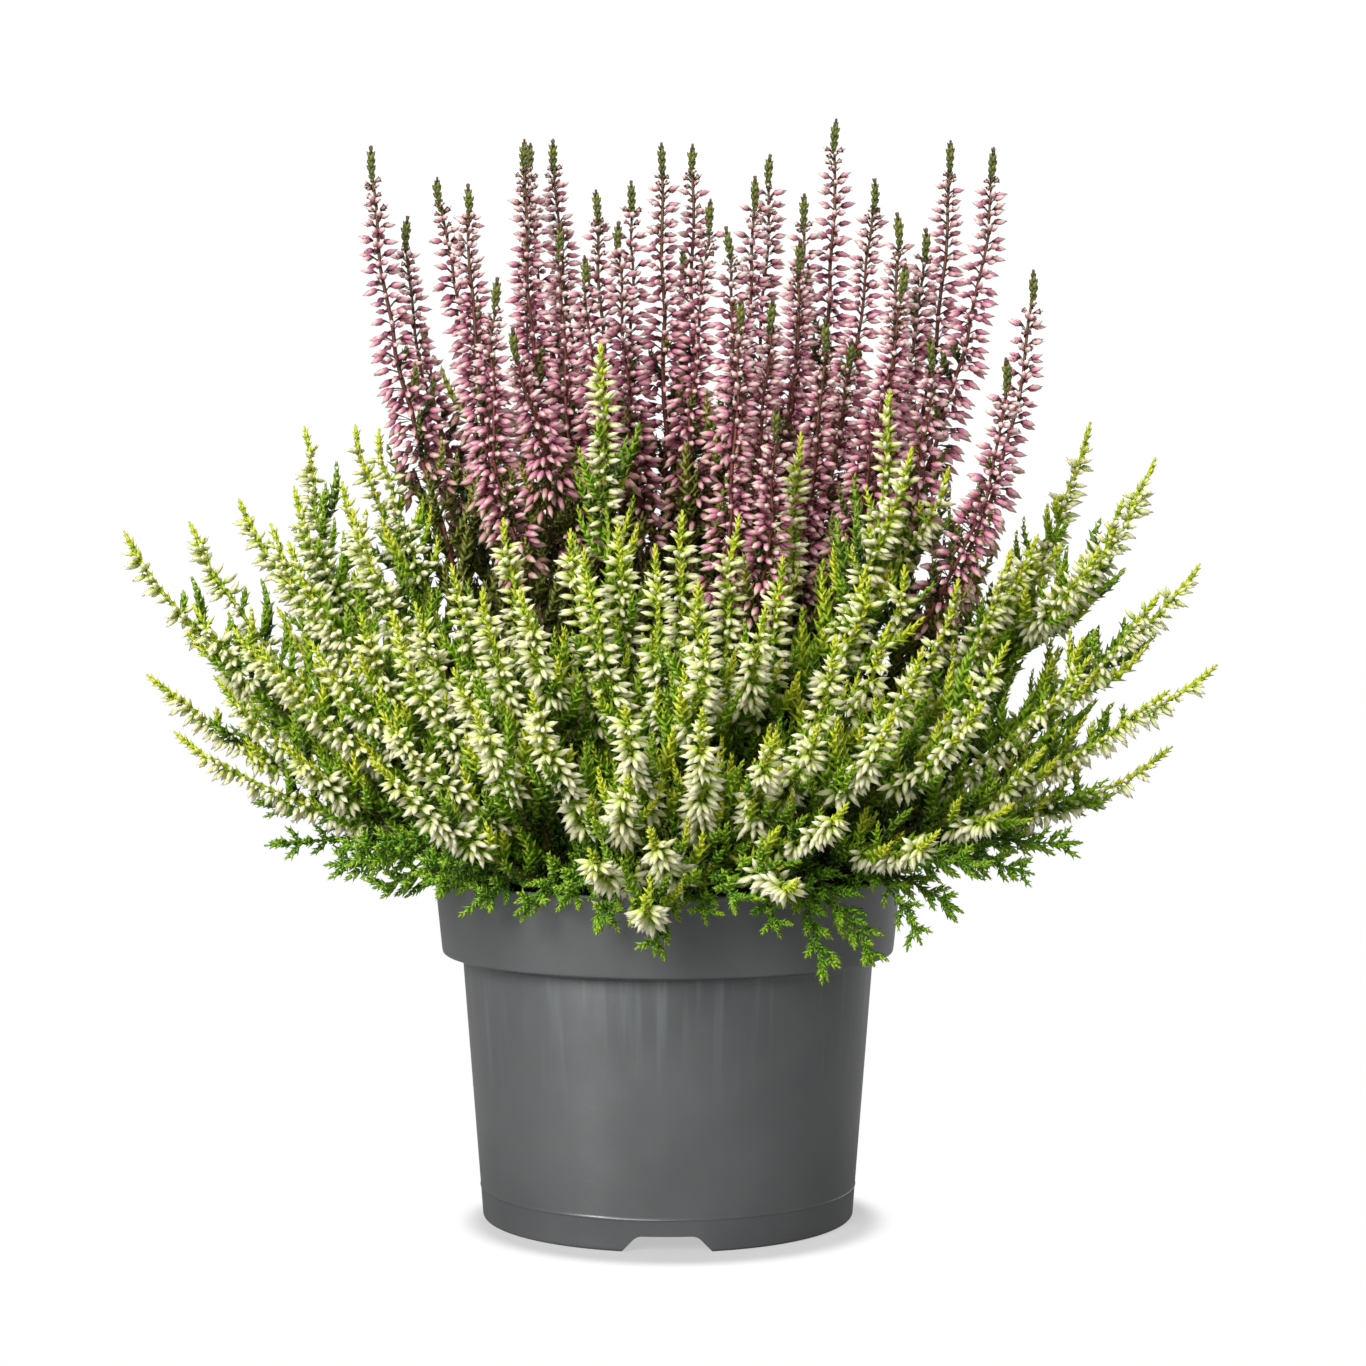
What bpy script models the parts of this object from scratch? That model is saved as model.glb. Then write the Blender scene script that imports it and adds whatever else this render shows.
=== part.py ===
"""Potted heather: pink and white flower sprays and green leafy stems, planted in one grower's pot.

Metres, +Z up. The origin is at the middle of the pot's foot, and the front looks towards -Y.
Each spray is one body: a woody stem with two to four flower spikes that branch from it. A spike is
drawn out ring by ring along its own line, and its florets stand out crosswise, pair above pair.
"""
import math

import bmesh
import bpy
import numpy as np
from mathutils import Matrix

MM = 0.001

# Pot: a round grower's pot with a stacking collar, a raised base plate and three notches in its foot
POT_HEIGHT = 0.095
RIM_RADIUS = 0.065
COLLAR_FOOT_RADIUS = 0.0627
COLLAR_HEIGHT = 0.0218
BODY_TOP_RADIUS = 0.0571
FOOT_RADIUS = 0.0514
POT_WALL = 0.0013
LEDGE_DROP = 0.0012
BASE_PLATE_LIFT = 0.0046
FOOT_RING_WIDTH = 0.0015
ROUND_STEPS = 40
NOTCH_COUNT = 3
NOTCH_FOOT_WIDTH = 0.024
NOTCH_TOP_WIDTH = 0.016
NOTCH_HEIGHT = 0.0043
DRAIN_HOLES = 6
DRAIN_RADIUS = 0.004
DRAIN_CIRCLE = 0.036
DRAIN_CUT_DEPTH = 0.006

# Soil: fills the pot to a little under its rim, with one plain hole for each stem
SOIL_TOP = 0.084
NEIGHBOUR_GAP = 0.0003
STEM_DEPTH = 0.006
HOLE_RADIUS = 0.0026
HOLE_SIDES = 4
ROOT_SPACING = 0.0068
ROOT_STEPS = 80
ROOT_PUSH = 0.4

# Stems, shared by every spray
STEM_RADIUS = 0.0011
STEM_FIRST_RING = 0.0016
BRANCH_HALF_LENGTH = 0.0022
BRANCH_FIRST_RING = 0.0050
BRANCH_MARGIN = 0.0085
PLAIN_RING_SPACING = 0.030
BLOOM_LEAD = 0.004
BEND_ARM = 0.40
BRANCH_ARM = 0.34
SHORTEST_ARM_SHARE = 0.6
LOOK_AHEAD = 0.004
TANGENT_REACH = 0.003

# Combing: how the spikes are kept off each other, off the pot and off the soil
SAMPLES = 26
BLOOM_EDGE = 0.02
COMB_STEPS = 160
COMB_FREE_STEPS = 80
COMB_REFRESH = 8
COMB_GAP = 0.0011
POT_CLEARANCE = 0.0022
COMB_REACH = 0.022
CROWD_EASE = 0.35
FORK_REACH = 1.5
PAIR_BLOCK = 512
PULL_BACK_SIDE = 0.985
PULL_BACK_DEPTH = 0.997
FIXED_STEM_LENGTH = 0.006
FREE_STEM_LENGTH = 0.016
RIM_MIDDLE_RADIUS = 0.0640
RIM_HALF_WALL = 0.0016

# One entry for each kind of stem. A lean off vertical is a share of the angle from root to tip, and
# tip_droop adds to it as that angle grows; root_most and tip_most are the most it may be, in degrees.
PINK = {
    "name": "pink_spray", "colour": (0.52, 0.16, 0.27), "bloom": 0.098, "bloom_share": 0.62,
    "radius": 0.0062, "foot_radius": 0.0078, "core": 0.0021, "spacing": 0.0092, "rise": 0.0012,
    "shortest_arm": 0.0, "branch_from": 0.42, "branch_to": 0.78, "branch_clear": 0.018,
    "branch_spread": 0.9, "branch_bare": 0.014, "root_share": 0.40, "root_limit": 0.036,
    "root_lean": 1.10, "root_most": 45, "tip_lean": 0.10, "tip_droop": 0.2, "tip_most": 60,
}
WHITE = {
    "name": "white_spray", "colour": (0.72, 0.72, 0.60), "bloom": 0.056, "bloom_share": 0.52,
    "radius": 0.0052, "foot_radius": 0.0056, "core": 0.0019, "spacing": 0.0089, "rise": 0.0012,
    "shortest_arm": 0.0, "branch_from": 0.42, "branch_to": 0.80, "branch_clear": 0.014,
    "branch_spread": 0.9, "branch_bare": 0.014, "root_share": 0.30, "root_limit": 0.040,
    "root_lean": 0.90, "root_most": 45, "tip_lean": 0.2, "tip_droop": 1.6, "tip_most": 50,
}
GREEN = {
    "name": "leafy_stem", "colour": (0.10, 0.22, 0.04), "bloom": 0.048, "bloom_share": 0.62,
    "radius": 0.0028, "foot_radius": 0.0028, "core": 0.0010, "spacing": 0.0078, "rise": 0.0014,
    "shortest_arm": 0.034, "branch_from": 0.30, "branch_to": 0.95, "branch_clear": 0.009,
    "branch_spread": 0.5, "branch_bare": 0.010, "root_share": 0.60, "root_limit": 0.047,
    "root_lean": 0.12, "root_most": 60, "tip_lean": 0.75, "tip_droop": 0.75, "tip_most": 150,
}

# Spike tips, spray by spray, each as (right, back, up) in millimetres. The first is the main spike.
PINK_TIPS = [
    [(-84, 10, 299), (-75, 26, 281), (-67, 32, 293)],
    [(-57, 16, 289), (-47, -10, 260)],
    [(-41, 18, 302), (-40, 33, 303), (-42, -25, 245)],
    [(-30, 0, 276), (-34, 46, 306)],
    [(-21, 30, 289), (-14, 12, 278), (-23, -10, 266)],
    [(-2, 25, 302), (-11, 40, 293)],
    [(7, 42, 304), (12, 10, 284), (16, -10, 274)],
    [(20, -24, 253), (29, -16, 254), (29, -38, 223)],
    [(25, 30, 293), (30, 50, 302)],
    [(39, 22, 287), (37, 3, 272)],
    [(43, -20, 248), (51, -8, 243)],
    [(49, 40, 311), (59, 20, 291)],
    [(64, 0, 279), (65, -18, 263), (73, 12, 276)],
    [(82, 35, 304), (93, 20, 300)],
    [(102, 0, 263), (92, -22, 237), (71, -24, 243)],
    [(-58, 70, 262), (-42, 58, 280), (-72, 48, 252)],
    [(-12, 84, 252), (4, 66, 276), (20, 82, 262)],
    [(42, 72, 272), (58, 82, 250), (74, 62, 264)],
]
WHITE_TIPS = [
    [(-151, -5, 190), (-141, -26, 151), (-128, -30, 170)],
    [(-137, 20, 193), (-125, 36, 200), (-106, 36, 221)],
    [(-109, -15, 192), (-102, -32, 187), (-106, 12, 203)],
    [(-91, 0, 204), (-86, -20, 196), (-90, 25, 221), (-81, 5, 219)],
    [(-115, -44, 164), (-107, -54, 160), (-92, -64, 161), (-80, -56, 168)],
    [(-71, -70, 169), (-66, -54, 171), (-56, -60, 181)],
    [(-72, -86, 144), (-73, -96, 132), (-53, -92, 155), (-47, -102, 146)],
    [(-132, -36, 136), (-119, -42, 150), (-100, -60, 134)],
    [(-43, -50, 193), (-47, -72, 175), (-37, -82, 175)],
    [(-33, -105, 150), (-10, -114, 147), (-9, -117, 130)],
    [(-25, -60, 190), (-21, -75, 185), (-13, -50, 192), (-18, -30, 241)],
    [(-3, -72, 186), (4, -52, 195), (8, -86, 177), (10, -100, 165)],
    [(19, -46, 194), (30, -61, 183), (25, -82, 171)],
    [(9, -114, 146), (27, -106, 140), (38, -92, 141), (45, -100, 122), (32, -108, 104)],
    [(37, -22, 217), (53, -56, 178), (62, -46, 181)],
    [(43, -83, 163), (57, -72, 166), (65, -80, 160), (57, -92, 144)],
    [(60, -30, 228), (65, -43, 212), (74, -20, 208)],
    [(77, -46, 177), (69, -84, 114), (81, -77, 146), (89, -60, 161)],
    [(93, -28, 185), (102, -12, 189), (110, -1, 187)],
    [(122, 30, 222), (138, 12, 211), (126, -8, 199), (118, -18, 186)],
    [(152, -8, 153), (151, 14, 181), (134, -20, 173)],
    [(112, -48, 157), (135, -32, 147), (138, -18, 131), (100, -46, 133), (90, -62, 119)],
    [(-19, -104, 111), (-4, -112, 117), (-5, -115, 101)],
    [(-118, 66, 168), (-104, 82, 150), (-92, 58, 190), (-134, 46, 148)],
    [(-62, 98, 172), (-44, 108, 148), (-34, 92, 196), (-78, 94, 142)],
    [(0, 116, 158), (16, 104, 184), (-18, 102, 182), (8, 112, 132)],
    [(54, 100, 176), (72, 96, 150), (38, 110, 146), (66, 82, 198)],
    [(112, 68, 170), (102, 84, 146), (96, 54, 198), (132, 46, 156)],
]
GREEN_TIPS = [
    [(-117, 4, 114), (-99, 20, 108), (-110, -20, 104), (-94, -10, 98)],
    [(-91, -44, 101), (-77, -54, 96), (-84, -68, 108)],
    [(-50, -70, 93), (-64, -62, 98), (-62, -82, 106)],
    [(-27, -78, 95), (-39, -74, 91), (-14, -82, 90)],
    [(-3, -86, 82), (10, -82, 92), (22, -92, 99)],
    [(41, -80, 75), (28, -84, 88), (53, -74, 78)],
    [(66, -62, 82), (78, -50, 89), (84, -64, 103)],
    [(113, -22, 105), (122, 0, 115), (98, -38, 98), (104, 6, 105)],
    [(104, 36, 104), (88, 52, 94), (116, 26, 114)],
    [(52, 72, 86), (66, 80, 97), (36, 84, 90)],
    [(0, 82, 84), (14, 94, 95), (-18, 90, 88)],
    [(-60, 66, 88), (-78, 60, 100), (-88, 42, 104)],
]
FAMILIES = [(PINK, PINK_TIPS), (WHITE, WHITE_TIPS), (GREEN, GREEN_TIPS)]


def heading(turn, angle):
    """Unit vector that leans by angle off vertical towards the flat unit vector turn."""
    return np.array([turn[0] * math.sin(angle), turn[1] * math.sin(angle), math.cos(angle)])


def unit(vector):
    return vector / max(np.linalg.norm(vector), 1e-9)


def bend(start, start_arm, end_arm, end):
    """Points along a cubic curve from start to end."""
    t = np.linspace(0.0, 1.0, SAMPLES)[:, None]
    return ((1 - t) ** 3 * start + 3 * (1 - t) ** 2 * t * start_arm
            + 3 * (1 - t) * t ** 2 * end_arm + t ** 3 * end)


def lengths_along(points):
    steps = np.linalg.norm(np.diff(points, axis=0), axis=1)
    return np.concatenate([[0.0], np.cumsum(steps)])


def point_at(points, distance):
    along = lengths_along(points)
    return np.array([np.interp(distance, along, points[:, axis]) for axis in range(3)])


def root_places(sprays):
    """A place on the soil for each stem, on the side of its own tips and clear of the others."""
    places = []
    for family, tips in sprays:
        middle = np.mean(np.array(tips, float)[:, :2], axis=0) * MM * family["root_share"]
        reach = np.hypot(*middle)
        places.append(middle * min(1.0, family["root_limit"] / max(reach, 1e-6)))
    places = np.array(places)
    limits = np.array([family["root_limit"] for family, _ in sprays])
    for _ in range(ROOT_STEPS):
        apart = places[:, None] - places[None]
        distance = np.hypot(apart[..., 0], apart[..., 1])
        np.fill_diagonal(distance, 1.0)
        push = np.clip(ROOT_SPACING - distance, 0.0, None) / np.maximum(distance, 1e-6)
        places = places + ROOT_PUSH * np.sum(apart * push[..., None], axis=1)
        reach = np.hypot(places[:, 0], places[:, 1])
        places = places * np.minimum(1.0, limits / np.maximum(reach, 1e-6))[:, None]
    return places


def lay_out(sprays, roots):
    """One strand for each spike: its line, its bare length, and where it leaves another strand."""
    strands = []
    for spray, (family, tips) in enumerate(sprays):
        root = np.array([roots[spray][0], roots[spray][1], SOIL_TOP])
        main = len(strands)
        side_count = len(tips) - 1
        for number, tip_mm in enumerate(tips):
            tip = np.array(tip_mm, float) * MM
            flat = tip[:2] - root[:2]
            turn = unit(flat)
            angle = math.atan2(np.hypot(*flat), tip[2] - root[2])
            root_angle = min(angle * family["root_lean"], math.radians(family["root_most"]))
            tip_angle = angle * (family["tip_lean"]
                                 + family["tip_droop"] * (angle / (math.pi / 2)) ** 2)
            tip_angle = min(tip_angle, math.radians(family["tip_most"]))
            if number == 0:
                arm = max(BEND_ARM * np.linalg.norm(tip - root), family["shortest_arm"])
                line = bend(root, root + heading(turn, root_angle) * arm,
                            tip - heading(turn, tip_angle) * arm, tip)
                leaves_at = 0.0
            else:
                stem = strands[main]
                share = (number - 1) / max(side_count - 1, 1)
                lowest = stem["bare"] * family["branch_from"]
                highest = min(stem["bare"] * family["branch_to"], stem["bare"] - BRANCH_MARGIN)
                leaves_at = lowest + share * (highest - lowest)
                start = point_at(stem["line"], leaves_at)
                along = unit(point_at(stem["line"], leaves_at + LOOK_AHEAD) - start)
                away = tip - start
                side = unit(away - along * np.dot(away, along))
                arm = max(BRANCH_ARM * np.linalg.norm(away),
                          family["shortest_arm"] * SHORTEST_ARM_SHARE)
                line = bend(start, start + unit(along + family["branch_spread"] * side) * arm,
                            tip - heading(turn, tip_angle) * arm, tip)
            length = lengths_along(line)[-1]
            bare = length - min(family["bloom"], length * family["bloom_share"])
            if number > 0:
                bare = max(bare, family["branch_bare"])
            strands.append({"family": family, "spray": spray, "line": line, "bare": bare,
                            "stem": None if number == 0 else main, "leaves_at": leaves_at})
    return strands


def spread_at(family, share):
    """Reach of the florets at a share of the flowering length, 0 at its foot and 1 at the tip."""
    return float(np.interp(share, [0.0, 0.10, 0.25, 0.55, 0.85, 1.0],
                           [0.55 * family["foot_radius"], family["foot_radius"],
                            family["foot_radius"], family["radius"], 0.86 * family["radius"],
                            0.35 * family["radius"]]))


def strand_radii(strand):
    along = lengths_along(strand["line"])
    share = (along - strand["bare"]) / max(along[-1] - strand["bare"], 1e-6)
    bloom = np.array([spread_at(strand["family"], s) for s in np.clip(share, 0.0, 1.0)])
    return np.where(share < -BLOOM_EDGE, STEM_RADIUS, bloom)


def near_pairs(points, strands):
    """Pairs of samples on different strands that are close enough to watch."""
    flat = points.reshape(-1, 3).astype(np.float32)
    squares = np.sum(flat * flat, axis=1)
    owner = np.repeat(np.arange(len(strands)), SAMPLES)
    firsts, seconds = [], []
    for begin in range(0, len(flat), PAIR_BLOCK):
        end = begin + PAIR_BLOCK
        apart = flat[begin:end] @ (-2.0 * flat[begin:].T)
        apart += squares[begin:]
        apart += squares[begin:end, None]
        row, column = np.nonzero(apart < COMB_REACH ** 2)
        firsts.append(row + begin)
        seconds.append(column + begin)
    first, second = np.concatenate(firsts), np.concatenate(seconds)
    wanted = owner[first] < owner[second]
    first, second = first[wanted], second[wanted]
    keep = np.ones(len(first), bool)
    for index, strand in enumerate(strands):
        if strand["stem"] is None:
            continue
        along = lengths_along(points[index])
        stem_along = lengths_along(points[strand["stem"]])
        clear = strand["family"]["branch_clear"]
        for mine, other in ((first, second), (second, first)):
            linked = (owner[mine] == index) & (owner[other] == strand["stem"])
            near_fork = ((along[mine % SAMPLES] < clear)
                         & (np.abs(stem_along[other % SAMPLES] - strand["leaves_at"])
                            < FORK_REACH * clear))
            keep &= ~(linked & near_fork)
    return first[keep], second[keep]


def clear_of_pot(points, radii):
    """Moves samples off the pot's rim and the soil."""
    reach = np.hypot(points[..., 0], points[..., 1])
    turn = points[..., :2] / np.maximum(reach, 1e-6)[..., None]
    wall_top = POT_HEIGHT - RIM_HALF_WALL
    across = reach - RIM_MIDDLE_RADIUS
    above = np.maximum(points[..., 2] - wall_top, 0.0)
    distance = np.maximum(np.hypot(across, above), 1e-6)
    short = np.clip(RIM_HALF_WALL + radii + POT_CLEARANCE - distance, 0.0, None)
    points[..., :2] += turn * (short * across / distance)[..., None]
    points[..., 2] += short * above / distance
    inside = reach < RIM_MIDDLE_RADIUS
    floor = SOIL_TOP + radii + COMB_GAP
    sink = np.where(inside, np.clip(floor - points[..., 2], 0.0, None), 0.0)
    points[..., 2] += sink


def comb(strands):
    """Eases the strands apart until no two touch, and keeps each close to the line it was given."""
    start = np.array([strand["line"] for strand in strands])
    radii = np.array([strand_radii(strand) for strand in strands])
    along = np.array([lengths_along(strand["line"]) for strand in strands])
    is_main = np.array([strand["stem"] is None for strand in strands])
    hold = np.where(is_main[:, None],
                    np.clip((along - FIXED_STEM_LENGTH) / FREE_STEM_LENGTH, 0.0, 1.0), 1.0)[..., None]
    forks = [(index, strand["stem"], strand["leaves_at"]) for index, strand in enumerate(strands)
             if strand["stem"] is not None]
    shift = np.zeros_like(start)
    flat_radii = radii.reshape(-1)
    for step in range(COMB_STEPS):
        points = start + shift
        if step % COMB_REFRESH == 0:
            first, second = near_pairs(points, strands)
        flat = points.reshape(-1, 3)
        apart = flat[first] - flat[second]
        distance = np.maximum(np.linalg.norm(apart, axis=1), 1e-6)
        short = np.clip(flat_radii[first] + flat_radii[second] + COMB_GAP - distance, 0.0, None)
        push = apart * (0.5 * short / distance)[:, None]
        touching = short > 0
        moved = np.concatenate([first[touching], second[touching]])
        pushes = np.concatenate([push[touching], -push[touching]])
        counts = 1.0 + CROWD_EASE * np.bincount(moved, minlength=len(flat))
        moves = np.stack([np.bincount(moved, pushes[:, axis], len(flat)) for axis in range(3)], axis=1)
        points = points + (moves / counts[:, None]).reshape(points.shape)
        clear_of_pot(points, radii)
        shift = (points - start) * hold
        if step < COMB_STEPS - COMB_FREE_STEPS:
            shift *= np.array([PULL_BACK_SIDE, PULL_BACK_DEPTH, PULL_BACK_SIDE])
        for index, stem, leaves_at in forks:
            shift[index, 0] = point_at(start[stem] + shift[stem], leaves_at) - start[index, 0]
        for _ in range(2):
            shift[:, 1:-1] = 0.5 * shift[:, 1:-1] + 0.25 * (shift[:, :-2] + shift[:, 2:])
    for index, strand in enumerate(strands):
        strand["line"] = start[index] + shift[index]


def ring(centre, tangent, side, radii):
    """Four points round a line, turned so that their face looks along tangent."""
    other = np.cross(tangent, side)
    return [centre + radii[0] * side, centre + radii[1] * other,
            centre - radii[2] * side, centre - radii[3] * other]


def floret_rings(strand):
    """Distances along a strand, with the reach of the four corners, from its bare foot to its tip."""
    family, bare = strand["family"], strand["bare"]
    length = lengths_along(strand["line"])[-1]
    bloom = length - bare
    count = max(3, round(bloom / family["spacing"]))
    rings = []
    for number in range(count):
        share = number / count
        reach = spread_at(family, share + 0.5 / count)
        out_first = number % 2 == 0
        corners = [reach if (corner % 2 == 0) == out_first else family["core"] for corner in range(4)]
        rings.append((bare + bloom * share, corners))
    return rings, length


def stem_rings(strand, forks):
    """Rings of the bare stem: round each fork, and between them no further apart than the spacing."""
    start = BRANCH_FIRST_RING if strand["stem"] is not None else STEM_FIRST_RING
    marks = [start]
    for fork in sorted(forks):
        marks += [fork - BRANCH_HALF_LENGTH, fork + BRANCH_HALF_LENGTH]
    marks.append(strand["bare"] - BLOOM_LEAD)
    rings = [marks[0]]
    for mark in marks[1:]:
        pieces = max(1, math.ceil((mark - rings[-1]) / PLAIN_RING_SPACING))
        rings += [rings[-1] + (mark - rings[-1]) * (piece + 1) / pieces for piece in range(pieces)]
    return [(distance, [STEM_RADIUS] * 4) for distance in rings]


def draw_out(bm, end_face, strand, forks, side):
    """Draws end_face along the strand, ring by ring, to its tip. Returns the side face at each fork."""
    line = strand["line"]
    florets, length = floret_rings(strand)
    bare_rings = stem_rings(strand, forks)
    fork_faces = {}
    previous = None
    for distance, radii in bare_rings + florets:
        centre = point_at(line, distance)
        tangent = unit(point_at(line, distance + TANGENT_REACH)
                       - point_at(line, max(distance - TANGENT_REACH, 0.0)))
        side = unit(side - tangent * np.dot(side, tangent))
        rise = strand["family"]["rise"] if max(radii) > STEM_RADIUS else 0.0
        end_face = bmesh.ops.extrude_discrete_faces(bm, faces=[end_face])["faces"][0]
        corners = list(end_face.verts)
        for corner, place, radius in zip(corners, ring(centre, tangent, side, radii), radii):
            corner.co = place + tangent * (rise if radius == max(radii) else 0.0)
        for fork in forks:
            if abs(distance - fork - BRANCH_HALF_LENGTH) < 1e-6:
                fork_faces[fork] = (previous, corners)
        previous = corners
    bmesh.ops.pointmerge(bm, verts=list(end_face.verts), merge_co=point_at(line, length))
    return fork_faces


def side_face(lower, upper, direction):
    """The face between two rings that looks most along direction."""
    best, best_match = None, -2.0
    for corner in range(4):
        following = (corner + 1) % 4
        quad = {lower[corner], lower[following], upper[corner], upper[following]}
        for face in lower[corner].link_faces:
            if set(face.verts) == quad:
                face.normal_update()
                match = float(np.dot(np.array(face.normal), direction))
                if match > best_match:
                    best, best_match = face, match
    return best


def build_spray(name, strands, members):
    """One body: the main spike from its foot in the soil, and each side spike out of a stem face."""
    main = strands[members[0]]
    root = main["line"][0]
    forks = {strands[member]["leaves_at"]: member for member in members[1:]}
    bm = bmesh.new()
    made = bmesh.ops.create_cone(bm, cap_ends=True, segments=4, radius1=STEM_RADIUS,
                                 radius2=STEM_RADIUS, depth=STEM_DEPTH)
    bmesh.ops.translate(bm, verts=made["verts"],
                        vec=(root[0], root[1], SOIL_TOP - STEM_DEPTH / 2))
    top = max(bm.faces, key=lambda face: face.calc_center_median().z)
    middle = np.array(top.calc_center_median())
    first_corner = unit(np.array(list(top.verts)[0].co) - middle)
    fork_faces = draw_out(bm, top, main, list(forks), first_corner)
    for fork, (lower, upper) in fork_faces.items():
        strand = strands[forks[fork]]
        start = point_at(main["line"], fork)
        first = unit(point_at(strand["line"], BRANCH_FIRST_RING) - start)
        face = side_face(lower, upper, first)
        middle = np.array(face.calc_center_median())
        draw_out(bm, face, strand, [], np.array(list(face.verts)[0].co) - middle)
    bmesh.ops.triangulate(bm, faces=bm.faces, quad_method="SHORT_EDGE")
    mesh = bpy.data.meshes.new(name)
    bm.to_mesh(mesh)
    bm.free()
    return mesh


def material(name, colour, roughness, metallic=0.0):
    made = bpy.data.materials.new(name)
    made.use_nodes = True
    shader = made.node_tree.nodes["Principled BSDF"]
    shader.inputs["Base Color"].default_value = (*colour, 1.0)
    shader.inputs["Roughness"].default_value = roughness
    shader.inputs["Metallic"].default_value = metallic
    return made


def add_object(name, mesh, finish, collection):
    item = bpy.data.objects.new(name, mesh)
    item.data.materials.append(finish)
    collection.objects.link(item)
    return item


def turned(name, profile, finish, collection):
    """A closed body turned from a profile of (radius, height) points that begins and ends on the axis."""
    bm = bmesh.new()
    corners = [bm.verts.new((radius, 0.0, height)) for radius, height in profile]
    for first, second in zip(corners, corners[1:]):
        bm.edges.new((first, second))
    mesh = bpy.data.meshes.new(name)
    bm.to_mesh(mesh)
    bm.free()
    item = add_object(name, mesh, finish, collection)
    screw = item.modifiers.new("turn", "SCREW")
    screw.steps = screw.render_steps = ROUND_STEPS
    screw.use_merge_vertices = True
    screw.merge_threshold = 0.00005
    screw.use_smooth_shade = True
    return item


def outer_radius(height):
    """Outer radius of the pot's body below its collar."""
    ledge = POT_HEIGHT - COLLAR_HEIGHT - LEDGE_DROP
    return FOOT_RADIUS + (BODY_TOP_RADIUS - FOOT_RADIUS) * height / ledge


def collar_radius(height):
    """Outer radius of the pot's collar."""
    share = (height - (POT_HEIGHT - COLLAR_HEIGHT)) / COLLAR_HEIGHT
    return COLLAR_FOOT_RADIUS + (RIM_RADIUS - COLLAR_FOOT_RADIUS) * share


def pot_profile():
    collar_foot = POT_HEIGHT - COLLAR_HEIGHT
    ledge = collar_foot - LEDGE_DROP
    plate_top = BASE_PLATE_LIFT + POT_WALL
    lip = 0.0004
    floor_corner = 0.001
    collar_corner = 0.0006
    ledge_step = 0.0004
    ring_draft = 0.0004
    return [
        (0.0, plate_top),
        (outer_radius(plate_top) - POT_WALL - floor_corner, plate_top),
        (outer_radius(plate_top) - POT_WALL, plate_top + floor_corner),
        (BODY_TOP_RADIUS - POT_WALL, ledge + ledge_step),
        (COLLAR_FOOT_RADIUS - POT_WALL, collar_foot + POT_WALL),
        (RIM_RADIUS - POT_WALL, POT_HEIGHT - lip),
        (RIM_RADIUS - POT_WALL + lip, POT_HEIGHT),
        (RIM_RADIUS - lip, POT_HEIGHT),
        (RIM_RADIUS, POT_HEIGHT - lip),
        (collar_radius(collar_foot + collar_corner), collar_foot + collar_corner),
        (COLLAR_FOOT_RADIUS - collar_corner, collar_foot),
        (BODY_TOP_RADIUS, ledge),
        (outer_radius(lip), lip),
        (FOOT_RADIUS - lip, 0.0),
        (FOOT_RADIUS - FOOT_RING_WIDTH, 0.0),
        (FOOT_RADIUS - FOOT_RING_WIDTH - ring_draft, BASE_PLATE_LIFT),
        (0.0, BASE_PLATE_LIFT),
    ]


def soil_profile():
    collar_foot = POT_HEIGHT - COLLAR_HEIGHT
    ledge = collar_foot - LEDGE_DROP
    plate_top = BASE_PLATE_LIFT + POT_WALL
    inset = POT_WALL + NEIGHBOUR_GAP
    edge_width = 0.003
    edge_drop = 0.0015
    collar_gap = 0.0004
    ledge_gap = 0.0008
    body_gap = 0.0002
    floor_corner = 0.0015
    return [
        (0.0, SOIL_TOP),
        (collar_radius(SOIL_TOP) - inset - edge_width, SOIL_TOP),
        (collar_radius(SOIL_TOP) - inset, SOIL_TOP - edge_drop),
        (COLLAR_FOOT_RADIUS - inset, collar_foot + POT_WALL + collar_gap),
        (BODY_TOP_RADIUS - inset - body_gap, ledge + ledge_gap),
        (outer_radius(plate_top) - inset - body_gap, plate_top + floor_corner),
        (outer_radius(plate_top) - inset - floor_corner, plate_top + NEIGHBOUR_GAP),
        (0.0, plate_top + NEIGHBOUR_GAP),
    ]


def cut_with(item, cutter, name):
    cutter.hide_render = True
    cutter.display_type = "WIRE"
    cut = item.modifiers.new(name, "BOOLEAN")
    cut.operation = "DIFFERENCE"
    cut.object = cutter


def pot_cutters(collection, finish):
    """Trapezoid notches through the foot ring, and round drain holes through the base plate."""
    reach = 0.012
    below = 0.001
    widening = (NOTCH_FOOT_WIDTH - NOTCH_TOP_WIDTH) / NOTCH_HEIGHT
    bm = bmesh.new()
    for number in range(NOTCH_COUNT):
        turn = -math.pi / 2 + number * 2 * math.pi / NOTCH_COUNT
        block = bmesh.ops.create_cube(bm, size=1.0)["verts"]
        for corner in block:
            is_top = corner.co.z > 0
            corner.co.y *= NOTCH_TOP_WIDTH if is_top else NOTCH_FOOT_WIDTH + widening * below
            corner.co.z = NOTCH_HEIGHT if is_top else -below
            corner.co.x = FOOT_RADIUS + corner.co.x * reach
        bmesh.ops.rotate(bm, verts=block, cent=(0, 0, 0), matrix=Matrix.Rotation(turn, 3, "Z"))
    for number in range(DRAIN_HOLES):
        turn = (number + 0.5) * 2 * math.pi / DRAIN_HOLES
        made = bmesh.ops.create_cone(bm, cap_ends=True, segments=8, radius1=DRAIN_RADIUS,
                                     radius2=DRAIN_RADIUS, depth=DRAIN_CUT_DEPTH)
        bmesh.ops.translate(bm, verts=made["verts"],
                            vec=(DRAIN_CIRCLE * math.cos(turn), DRAIN_CIRCLE * math.sin(turn),
                                 BASE_PLATE_LIFT + POT_WALL / 2))
    mesh = bpy.data.meshes.new("pot_cutters")
    bm.to_mesh(mesh)
    bm.free()
    return add_object("pot_cutters", mesh, finish, collection)


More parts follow.
